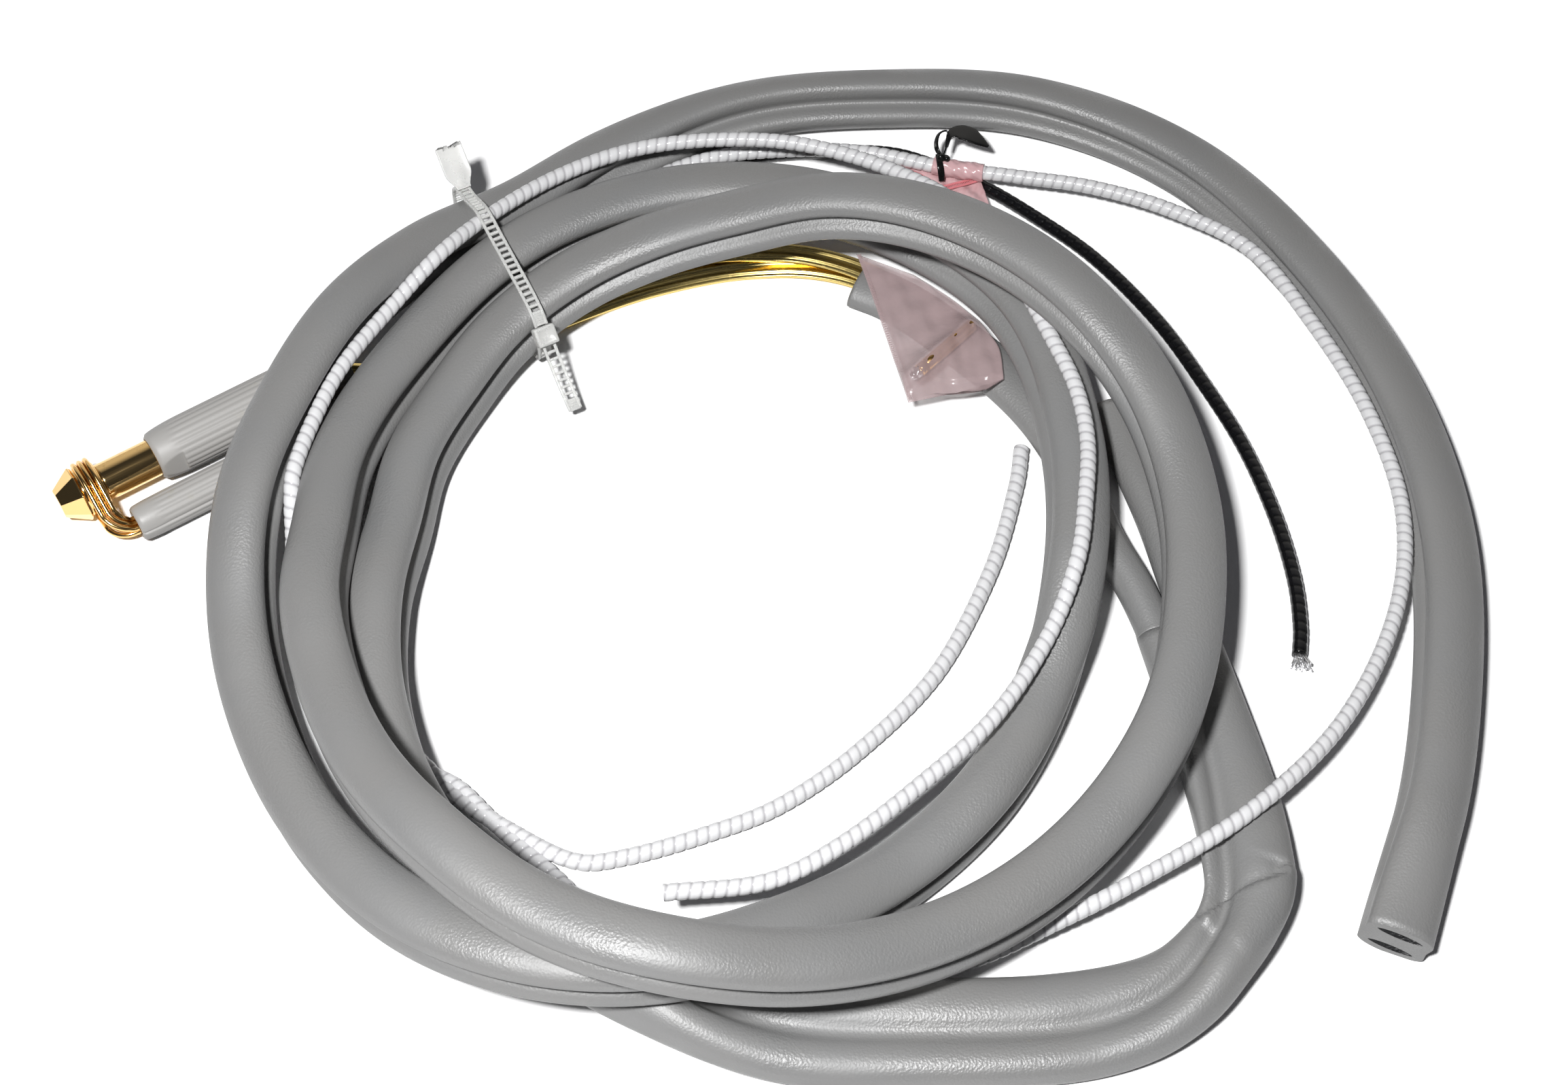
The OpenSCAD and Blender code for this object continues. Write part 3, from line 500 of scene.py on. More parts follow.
# ---------------------------------------------------------------- shader groups and finishes
class NodeBoard:
    """Adds and joins the nodes of one tree."""

    def __init__(self, tree: bpy.types.NodeTree) -> None:
        """Works on an empty tree."""
        self.tree = tree

    def add(self, kind: str, settings: Optional[dict] = None, **inputs: object) -> bpy.types.Node:
        """Adds a node.

        Args:
            kind: the node's type.
            settings: properties of the node itself.
            inputs: values or sockets for its inputs, with _ for a space in a name.

        Returns:
            The new node.
        """
        node = self.tree.nodes.new(kind)
        for key, value in (settings or {}).items():
            setattr(node, key, value)
        for key, value in inputs.items():
            name = key.replace("_", " ")
            index = int(key[2:]) if key.startswith("in") and key[2:].isdigit() else name
            self.set(node.inputs[index], value)
        return node

    def set(self, socket: bpy.types.NodeSocket, value: object) -> None:
        """Links a socket to another, or gives it a plain value."""
        if isinstance(value, bpy.types.NodeSocket):
            self.tree.links.new(value, socket)
        elif isinstance(value, (tuple, list)) and len(value) == 3 and socket.type == "RGBA":
            socket.default_value = (*value, 1.0)
        else:
            socket.default_value = value

    def math(self, operation: str, *values: object, clamp: bool = False) -> bpy.types.NodeSocket:
        """A Math node's result."""
        node = self.tree.nodes.new("ShaderNodeMath")
        node.operation, node.use_clamp = operation, clamp
        for socket, value in zip(node.inputs, values):
            self.set(socket, value)
        return node.outputs[0]

    def mix(self, factor: object, first: object, second: object) -> bpy.types.NodeSocket:
        """A colour mix's result."""
        node = self.tree.nodes.new("ShaderNodeMix")
        node.data_type = "RGBA"
        for index, value in ((0, factor), (6, first), (7, second)):
            self.set(node.inputs[index], value)
        return node.outputs[2]

    def span(self, value: object, low: float, high: float, first: float = 0,
             last: float = 1) -> bpy.types.NodeSocket:
        """Maps low..high of a value to first..last, held at both ends."""
        node = self.add("ShaderNodeMapRange", {"clamp": True})
        for index, item in enumerate((value, low, high, first, last)):
            self.set(node.inputs[index], item)
        return node.outputs[0]

    def noise(self, vector: object, scale: object, detail: float = 3.0,
              rough: float = 0.5) -> bpy.types.NodeSocket:
        """A noise texture's value."""
        node = self.add("ShaderNodeTexNoise", Vector=vector, Scale=scale, Detail=detail,
                        Roughness=rough)
        return node.outputs["Fac"]


def new_group(name: str, inputs: Sequence[Tuple[str, str, object]], outputs: Sequence[str]
              ) -> Tuple[bpy.types.NodeTree, NodeBoard, bpy.types.Node, bpy.types.Node]:
    """Starts a shader group.

    Args:
        name: the group's name.
        inputs: name, socket type and first value of each input.
        outputs: names of its float outputs.

    Returns:
        The group, its board, its input node and its output node.
    """
    group = bpy.data.node_groups.new(name, "ShaderNodeTree")
    for label, kind, value in inputs:
        socket = group.interface.new_socket(label, in_out="INPUT", socket_type=kind)
        if value is not None:
            socket.default_value = value
    for label in outputs:
        group.interface.new_socket(label, in_out="OUTPUT", socket_type="NodeSocketFloat")
    board = NodeBoard(group)
    return group, board, board.add("NodeGroupInput"), board.add("NodeGroupOutput")


FLOAT, VECTOR = "NodeSocketFloat", "NodeSocketVector"
# Faces deep inside a bore carry this U, and the vinyl paints them near-black as shade, standing for
# the shadow in the bore.
PAINTED_SHADE_U = -10.0  # U of the faces deep inside a bore
PAINTED_BORE_SHADE: Colour = (0.006, 0.006, 0.007)
SMUDGE: Colour = (0.12, 0.12, 0.125)


class Effects:
    """The surface effects that several finishes share, each a group that is built once."""

    _made: Dict[str, bpy.types.NodeTree] = {}

    @classmethod
    def get(cls, name: str) -> bpy.types.NodeTree:
        """The group of that name."""
        if name not in cls._made:
            cls._made[name] = getattr(cls, "_" + name)()
        return cls._made[name]

    @staticmethod
    def _leather_grain() -> bpy.types.NodeTree:
        """Fine moulded grain: pebbles with soft valleys, thinned by a slow noise."""
        group, board, give, take = new_group(
            "leather_grain",
            (("Vector", VECTOR, None), ("Scale", FLOAT, 1500.0), ("Patchiness", FLOAT, 0.5)),
            ("Height", "Patches"))
        cells = board.add("ShaderNodeTexVoronoi", {"feature": "SMOOTH_F1"},
                          Vector=give.outputs[0], Scale=give.outputs[1], Smoothness=0.6)
        fine = board.noise(give.outputs[0], board.math("MULTIPLY", give.outputs[1], 2.3))
        slow = board.noise(give.outputs[0], board.math("MULTIPLY", give.outputs[1], 0.03), 2.0)
        patches = board.span(slow, 0.35, 0.65)
        pebbles = board.math("ADD", board.math("MULTIPLY", cells.outputs[0], 0.7),
                             board.math("MULTIPLY", fine, 0.4))
        thin = board.math("SUBTRACT", 1.0, board.math("MULTIPLY", patches, give.outputs[2]))
        board.set(take.inputs[0], board.math("MULTIPLY", pebbles, thin))
        board.set(take.inputs[1], patches)
        return group

    @staticmethod
    def _blotches() -> bpy.types.NodeTree:
        """Soft spots of a set cover, for stains, scuffs and uneven colour."""
        group, board, give, take = new_group(
            "blotches",
            (("Vector", VECTOR, None), ("Scale", FLOAT, 60.0), ("Cover", FLOAT, 0.4),
             ("Softness", FLOAT, 0.15)),
            ("Mask",))
        broad = board.noise(give.outputs[0], give.outputs[1], 4.0, 0.6)
        edge = board.math("SUBTRACT", 0.85, board.math("MULTIPLY", give.outputs[2], 0.7))
        above = board.math("SUBTRACT", broad, edge)
        board.set(take.inputs[0], board.math("DIVIDE", above, give.outputs[3], clamp=True))
        return group

    @staticmethod
    def _drawn_lines() -> bpy.types.NodeTree:
        """Fine lines along one direction, as drawn or turned metal has."""
        group, board, give, take = new_group(
            "drawn_lines",
            (("Vector", VECTOR, None), ("Angle", FLOAT, 0.0), ("Fineness", FLOAT, 3000.0)),
            ("Lines",))
        turned = board.add("ShaderNodeVectorRotate", {"rotation_type": "Z_AXIS"},
                           Vector=give.outputs[0], Angle=give.outputs[1])
        thin = board.add("ShaderNodeVectorMath", {"operation": "MULTIPLY"}, in0=turned.outputs[0],
                         in1=(0.02, 1.0, 1.0))
        board.set(take.inputs[0], board.noise(thin.outputs[0], give.outputs[2], 2.0))
        return group

    @staticmethod
    def _wrap_beads() -> bpy.types.NodeTree:
        """One turn of a spiral wrap after another, from a map whose U counts turns."""
        group, board, give, take = new_group(
            "wrap_beads",
            (("Map", VECTOR, None), ("Joint width", FLOAT, 0.12)), ("Joint", "Crown"))
        parts = board.add("ShaderNodeSeparateXYZ", Vector=give.outputs[0])
        phase = board.math("FRACT", board.math("ADD", parts.outputs[0], parts.outputs[1]))
        off = board.math("ABSOLUTE", board.math("SUBTRACT", phase, 0.5))
        edge = board.math("SUBTRACT", 0.5, off)
        near = board.math("DIVIDE", edge, give.outputs[1], clamp=True)
        board.set(take.inputs[0], board.math("SUBTRACT", 1.0, near))
        board.set(take.inputs[1], board.span(off, 0.42, 0.1))
        return group


@dataclass(frozen=True)
class Finish:
    """A finish with its slot in the record. Its parts build the material."""

    name: str
    slot: str
    colour: Colour
    roughness: float = 0.5
    metallic: float = 0.0
    coat: float = 0.0

    def build(self) -> bpy.types.Material:
        """Makes the material."""
        material = bpy.data.materials.new(self.name)
        material.use_nodes = True
        board = NodeBoard(material.node_tree)
        shader = material.node_tree.nodes["Principled BSDF"]
        shader.inputs["Base Color"].default_value = (*self.colour, 1.0)
        shader.inputs["Roughness"].default_value = self.roughness
        shader.inputs["Metallic"].default_value = self.metallic
        shader.inputs["Coat Weight"].default_value = self.coat
        coords = board.add("ShaderNodeTexCoord")
        self.detail(board, shader, coords)
        return material

    def detail(self, board: NodeBoard, shader: bpy.types.Node, coords: bpy.types.Node) -> None:
        """Adds the finish's own pattern."""

    def effect(self, board: NodeBoard, name: str, **inputs: object) -> bpy.types.Node:
        """Places a shared effect."""
        node = board.add("ShaderNodeGroup", {"node_tree": Effects.get(name)})
        for key, value in inputs.items():
            board.set(node.inputs[key.replace("_", " ")], value)
        return node

    def blotches(self, board: NodeBoard, place: bpy.types.NodeSocket, scale: float, cover: float,
                 softness: float) -> bpy.types.NodeSocket:
        """The mask of the shared soft spots."""
        node = self.effect(board, "blotches", Vector=place, Scale=scale, Cover=cover,
                           Softness=softness)
        return node.outputs[0]

    def bump(self, board: NodeBoard, shader: bpy.types.Node, height: object, depth: float) -> None:
        """Feeds a height, in parts of a depth in metres, to the shader's normal."""
        node = board.add("ShaderNodeBump", Strength=1.0, Distance=depth, Height=height)
        board.set(shader.inputs["Normal"], node.outputs[0])


@dataclass(frozen=True)
class Vinyl(Finish):
    """Satin vinyl with a fine leathery grain, cloudy in tone, stained in places, and painted
    near-black shade deep inside its bores.
    """

    shade: Colour = (0.19, 0.205, 0.22)
    stain: Colour = (0.33, 0.29, 0.2)
    stain_cover: float = 0.18
    grain: float = 0.00018
    shine: float = 0.5

    def detail(self, board: NodeBoard, shader: bpy.types.Node, coords: bpy.types.Node) -> None:
        """Grain, cloudy colour, smudges, stains and painted shade deep inside the bores."""
        shader.inputs["Specular IOR Level"].default_value = self.shine
        place = coords.outputs["Object"]
        grain = self.effect(board, "leather_grain", Vector=place, Scale=1300.0, Patchiness=0.6)
        clouds = self.blotches(board, place, 22.0, 0.62, 0.5)
        stains = self.blotches(board, place, 75.0, self.stain_cover, 0.12)
        smudge = self.blotches(board, place, 190.0, 0.12, 0.1)
        colour = board.mix(board.math("MULTIPLY", clouds, 0.35), self.colour, self.shade)
        colour = board.mix(board.math("MULTIPLY", stains, 0.4), colour, self.stain)
        colour = board.mix(board.math("MULTIPLY", smudge, 0.35), colour, SMUDGE)
        # Painted shade: faces deep inside the bores turn near-black, for the shadow that falls in
        # them.
        along = board.add("ShaderNodeSeparateXYZ", Vector=coords.outputs["UV"])
        inside = board.math("LESS_THAN", along.outputs[0], PAINTED_SHADE_U / 2)
        colour = board.mix(inside, colour, PAINTED_BORE_SHADE)
        board.set(shader.inputs["Base Color"], colour)
        rough = board.span(grain.outputs[1], 0, 1, self.roughness - 0.05, self.roughness + 0.07)
        board.set(shader.inputs["Roughness"], rough)
        self.bump(board, shader, grain.outputs[0], self.grain)


@dataclass(frozen=True)
class Gilt(Finish):
    """Polished or satin gilt metal with faint drawing lines and a few dull spots."""

    tarnish: Colour = (0.35, 0.2, 0.07)
    angle: float = 0.0
    lines: float = 0.000004

    def detail(self, board: NodeBoard, shader: bpy.types.Node, coords: bpy.types.Node) -> None:
        """Drawing lines and tarnish."""
        place = coords.outputs["Object"]
        lines = self.effect(board, "drawn_lines", Vector=place, Angle=self.angle, Fineness=2600.0)
        spots = self.blotches(board, place, 260.0, 0.3, 0.15)
        colour = board.mix(board.math("MULTIPLY", spots, 0.45), self.colour, self.tarnish)
        board.set(shader.inputs["Base Color"], colour)
        mixed = board.math("ADD", board.math("MULTIPLY", lines.outputs[0], 0.12),
                           board.math("MULTIPLY", spots, 0.14))
        board.set(shader.inputs["Roughness"], board.math("ADD", mixed, self.roughness - 0.05))
        self.bump(board, shader, lines.outputs[0], self.lines)


@dataclass(frozen=True)
class Nylon(Finish):
    """Milky see-through moulded nylon."""

    clear: float = 0.42
    ior: float = 1.4
    milk: Colour = (0.8, 0.81, 0.8)

    def detail(self, board: NodeBoard, shader: bpy.types.Node, coords: bpy.types.Node) -> None:
        """Light that passes through, and faint flow marks."""
        shader.inputs["Transmission Weight"].default_value = self.clear
        shader.inputs["IOR"].default_value = self.ior
        flow = self.blotches(board, coords.outputs["Object"], 160.0, 0.6, 0.5)
        board.set(shader.inputs["Base Color"], board.mix(flow, self.colour, self.milk))
        board.set(shader.inputs["Roughness"], board.span(flow, 0, 1, 0.26, 0.42))
        self.bump(board, shader, flow, 0.00001)


@dataclass(frozen=True)
class SpiralWrap(Finish):
    """A spiral-wrapped cable: glossy turns with darker joints between them."""

    joint: Colour = (0.42, 0.41, 0.43)

    def detail(self, board: NodeBoard, shader: bpy.types.Node, coords: bpy.types.Node) -> None:
        """Turns and joints from the cable's own map."""
        beads = self.effect(board, "wrap_beads", Map=coords.outputs["UV"], Joint_width=0.2)
        speck = self.blotches(board, coords.outputs["Object"], 500.0, 0.4, 0.3)
        shade = board.math("MULTIPLY", beads.outputs[0], 0.8)
        board.set(shader.inputs["Base Color"], board.mix(shade, self.colour, self.joint))
        board.set(shader.inputs["Roughness"],
                  board.span(speck, 0, 1, self.roughness, self.roughness + 0.1))
        self.bump(board, shader, board.math("MULTIPLY", speck, -1.0), 0.00002)


@dataclass(frozen=True)
class Film(Finish):
    """Thin tinted bag film: milky, with soft creases."""

    alpha: float = 0.62

    def detail(self, board: NodeBoard, shader: bpy.types.Node, coords: bpy.types.Node) -> None:
        """Creases, milky patches and see-through film."""
        place = coords.outputs["Object"]
        milky = self.blotches(board, place, 60.0, 0.7, 0.6)
        creases = board.noise(place, 130.0, 3.0, 0.55)
        board.set(shader.inputs["Base Color"],
                  board.mix(milky, self.colour, tuple(0.9 * c for c in self.colour)))
        board.set(shader.inputs["Alpha"],
                  board.span(milky, 0, 1, self.alpha - 0.1, self.alpha + 0.12))
        self.bump(board, shader, creases, 0.0006)


@dataclass(frozen=True)
class Speckled(Finish):
    """A plain solid finish with a cloudy second colour and a light grain."""

    second: Colour = (0.1, 0.1, 0.1)
    scale: float = 300.0
    cover: float = 0.5
    depth: float = 0.00002

    def detail(self, board: NodeBoard, shader: bpy.types.Node, coords: bpy.types.Node) -> None:
        """Clouds and grain."""
        spots = self.blotches(board, coords.outputs["Object"], self.scale, self.cover, 0.35)
        board.set(shader.inputs["Base Color"], board.mix(spots, self.colour, self.second))
        board.set(shader.inputs["Roughness"],
                  board.span(spots, 0, 1, self.roughness, self.roughness + 0.15))
        self.bump(board, shader, spots, self.depth)


HEAD_TURN = -math.radians(HEAD_ANGLE)
SHEATH_VINYL = Vinyl("sheath_vinyl", "grey_vinyl_sheath", (0.235, 0.233, 0.23), 0.45, shine=1.0)
GRIP_PLASTIC = Vinyl("grip_plastic", "ribbed_grey_plastic", (0.40, 0.39, 0.375), 0.45,
                     shade=(0.33, 0.33, 0.325), stain=(0.34, 0.31, 0.2), stain_cover=0.3,
                     grain=0.00002)
PLUG_PLASTIC = Speckled("plug_plastic", "dark_grey_plug", (0.045, 0.045, 0.05), 0.5,
                        second=(0.07, 0.07, 0.075))
STRIP_BRASS = Gilt("strip_brass", "brass_strip", (0.85, 0.66, 0.25), 0.24, 1.0,
                   tarnish=(0.5, 0.36, 0.13))
GILT_POLISH = Gilt("gilt_polish", "gilt_brass", (0.93, 0.63, 0.27), 0.1, 1.0, angle=HEAD_TURN)
GILT_WIRE = Gilt("gilt_wire", "gilt_wire", (0.9, 0.58, 0.23), 0.14, 1.0, angle=HEAD_TURN)
BUSH_BRONZE = Gilt("bush_bronze", "bronze_bush", (0.6, 0.4, 0.2), 0.3, 1.0, angle=HEAD_TURN)
SPRING_STEEL = Speckled("spring_steel", "spring_steel", (0.5, 0.5, 0.52), 0.25, 1.0,
                        second=(0.36, 0.36, 0.38), scale=700.0)
TURNED_STEEL = Speckled("turned_steel", "steel", (0.55, 0.55, 0.57), 0.28, 1.0,
                        second=(0.4, 0.4, 0.41), scale=600.0)
WHITE_WRAP = SpiralWrap("white_wrap", "white_spiral_wrap", (0.8, 0.8, 0.81), 0.22)
BLACK_WRAP = SpiralWrap("black_wrap", "black_braid", (0.006, 0.006, 0.007), 0.18,
                        joint=(0.003, 0.003, 0.003))
BARE_SHIELD = Speckled("bare_shield", "silver_braid", (0.75, 0.75, 0.76), 0.25, 1.0,
                       second=(0.45, 0.45, 0.46), scale=900.0)
TIE_NYLON = Nylon("tie_nylon", "natural_nylon", (0.9, 0.9, 0.88), 0.3)
BAG_FILM = Film("bag_film", "pink_film", (0.62, 0.47, 0.475), 0.22, alpha=0.54)
NECK_FILM = Film("neck_film", "pink_film", (0.93, 0.6, 0.62), 0.2, alpha=0.6)
ZIP_FILM = Film("zip_film", "pink_film", (0.9, 0.3, 0.33), 0.25, alpha=0.85)
TWIST_PLASTIC = Speckled("twist_plastic", "black_twist_tie", (0.006, 0.006, 0.006), 0.16,
                         second=(0.012, 0.012, 0.012))
PIN_BRASS = Gilt("pin_brass", "brass_pin", (0.75, 0.44, 0.16), 0.22, 1.0)
TIP_SILVER = Speckled("tip_silver", "silver_tip", (0.7, 0.7, 0.71), 0.22, 1.0,
                      second=(0.4, 0.4, 0.42), scale=900.0)


# ---------------------------------------------------------------- studio
@dataclass
class Studio:
    """The camera, the lamp, the dim room and the pale floor."""

    target: Tuple[float, float, float] = (0.008, -0.0046, 0.0)
    distance: float = 0.8
    elevation: float = 57.0
    lens: float = 56.0
    lamp_at: Tuple[float, float, float] = (-0.15, -0.45, 0.88)
    lamp_size: float = 0.08
    lamp_power: float = 13.2
    ambient: float = 0.04
    room: Colour = (0.035, 0.037, 0.042)
    back_wall: Colour = (0.62, 0.6, 0.57)
    backdrop: float = 0.95
    floor_half: float = 6.0
    floor_shade: float = 0.28
    floor_white: float = 1.18
    even_to: float = 0.54
    most_lift: float = 60.0

    def build(self) -> None:
        """Sets up everything that isn't part of the object."""
        bpy.context.scene.view_settings.view_transform = "Standard"
        self._camera()
        self._key()
        self._world()
        self._floor()

    def _camera(self) -> None:
        """The camera at its fixed distance and angle."""
        data = bpy.data.cameras.new("camera")
        data.lens, data.sensor_width = self.lens, 36.0
        data.clip_start, data.clip_end = 0.01, 20.0
        camera = add_to_scene("camera", data)
        tilt = math.radians(self.elevation)
        back = Vector((0.0, -math.cos(tilt), math.sin(tilt))) * self.distance
        camera.location = Vector(self.target) + back
        camera.rotation_euler = (math.radians(90) - tilt, 0.0, 0.0)
        bpy.context.scene.camera = camera

    def _key(self) -> None:
        """A small soft lamp that faces straight down, in front of the object and high up."""
        data = bpy.data.lights.new("key_lamp", "AREA")
        data.size, data.energy = self.lamp_size, self.lamp_power
        add_to_scene("key_lamp", data).location = self.lamp_at

    @staticmethod
    def _seen(board: NodeBoard) -> Tuple[bpy.types.Node, bpy.types.NodeSocket]:
        """The light path, and whether the eye looks straight or through something clear."""
        path = board.add("ShaderNodeLightPath")
        return path, board.math("MAXIMUM", path.outputs["Is Camera Ray"],
                                path.outputs["Is Transmission Ray"])

    def _world(self) -> None:
        """A dim room for the light and in reflections, paler low at the back."""
        world = bpy.data.worlds.new("studio_world")
        world.use_nodes = True
        bpy.context.scene.world = world
        board = NodeBoard(world.node_tree)
        coords = board.add("ShaderNodeTexCoord")
        parts = board.add("ShaderNodeSeparateXYZ", Vector=coords.outputs["Generated"])
        behind = board.span(parts.outputs[1], 0.3, 0.7)
        mirrored = board.mix(behind, self.room, self.back_wall)
        path, seen = self._seen(board)
        light = board.mix(path.outputs["Is Glossy Ray"],
                          (self.ambient, self.ambient, 1.1 * self.ambient), mirrored)
        light = board.mix(seen, light, (self.backdrop,) * 3)
        board.set(world.node_tree.nodes["Background"].inputs["Color"], light)

    def _floor(self) -> None:
        """A white floor that stays white to the eye and keeps shadows."""
        mesh = bpy.data.meshes.new("floor")
        half = self.floor_half
        corners = [(x * half, y * half, FLOOR) for x, y in ((-1, -1), (1, -1), (1, 1), (-1, 1))]
        mesh.from_pydata(corners, [], [(0, 1, 2, 3)])
        floor = add_to_scene("floor", mesh)
        material = bpy.data.materials.new("floor_white")
        material.use_nodes = True
        board = NodeBoard(material.node_tree)
        path, seen = self._seen(board)
        seen = board.math("MAXIMUM", seen, path.outputs["Is Glossy Ray"])
        coords = board.add("ShaderNodeTexCoord")
        off = board.add("ShaderNodeVectorMath", {"operation": "SUBTRACT"},
                        in0=coords.outputs["Object"], in1=(*self.lamp_at[:2], 0.0))
        reach = board.add("ShaderNodeVectorMath", {"operation": "LENGTH"}, in0=off.outputs[0])
        height = self.lamp_at[2] ** 2
        spread = board.math("ADD", board.math("POWER", reach.outputs["Value"], 2.0), height)
        dim = board.math("POWER", board.math("DIVIDE", spread, height + self.even_to ** 2), 2.0)
        lift = board.math("MINIMUM", board.math("MAXIMUM", dim, 1.0), self.most_lift)
        shown = board.math("MULTIPLY", lift, self.floor_white)
        paper = board.add("ShaderNodeBsdfDiffuse",
                          Color=board.mix(seen, (self.floor_shade,) * 3, shown))
        out = material.node_tree.nodes["Material Output"]
        board.set(out.inputs["Surface"], paper.outputs[0])
        mesh.materials.append(material)


# ---------------------------------------------------------------- loose cables
def round_rings(line: np.ndarray, radius: np.ndarray, angle: np.ndarray) -> np.ndarray:
    """Rings round a line.

    Args:
        line: the line's points.
        radius: the radius at each point and angle.
        angle: the angles of a ring's points.

    Returns:
        An array of rings, points and coordinates.
    """
    side, up = turning_frames(line)
    return line[:, None] + radius[..., None] * (
        np.cos(angle)[None, :, None] * side[:, None]
        - np.sin(angle)[None, :, None] * up[:, None])


@dataclass
class WrappedCable:
    """A loose cable in a spiral wrap, swept along its hand-laid route."""

    name: str
    node: str
    route: Rows
    diameter: float
    finish: Finish
    pitch: float = 3.6 * MM
    rings_per_turn: int = 8
    around: int = 16
    groove: float = 0.12
    far_end: str = "bare"

    def centreline(self) -> np.ndarray:
        """The route as a smooth line of close points, in metres."""
        fine = smooth_rows(self.route, 40 * len(self.route))
        return even_line(fine * MM, self.pitch / self.rings_per_turn)

    def build(self, shop: Workshop,
              with_pieces: Sequence[bpy.types.Object] = ()) -> bpy.types.Object:
        """Args:
            shop: the workshop.
            with_pieces: the separate pieces on it; not used.

        Returns:
            The cable's object.
        """
        line = self.centreline()
        run = arc_lengths(line)
        turns = run / self.pitch
        angle = circle(self.around)
        phase = np.mod(turns[:, None] + angle[None] / (2 * math.pi), 1.0)
        off = np.minimum(phase, 1 - phase)
        swell = 1.0 - self.groove * np.exp(-(off / 0.09) ** 2) - 0.02 * (0.5 - off)
        skin = Skin()
        skin.add_closed(round_rings(line, self.diameter / 2 * swell, angle), turns)
        piece = shop.place(self.name, skin.mesh(self.name), self.finish,
                           replaces=(self.node,))
        LOG.info("%s is %.3f m long", self.name, run[-1])
        return piece


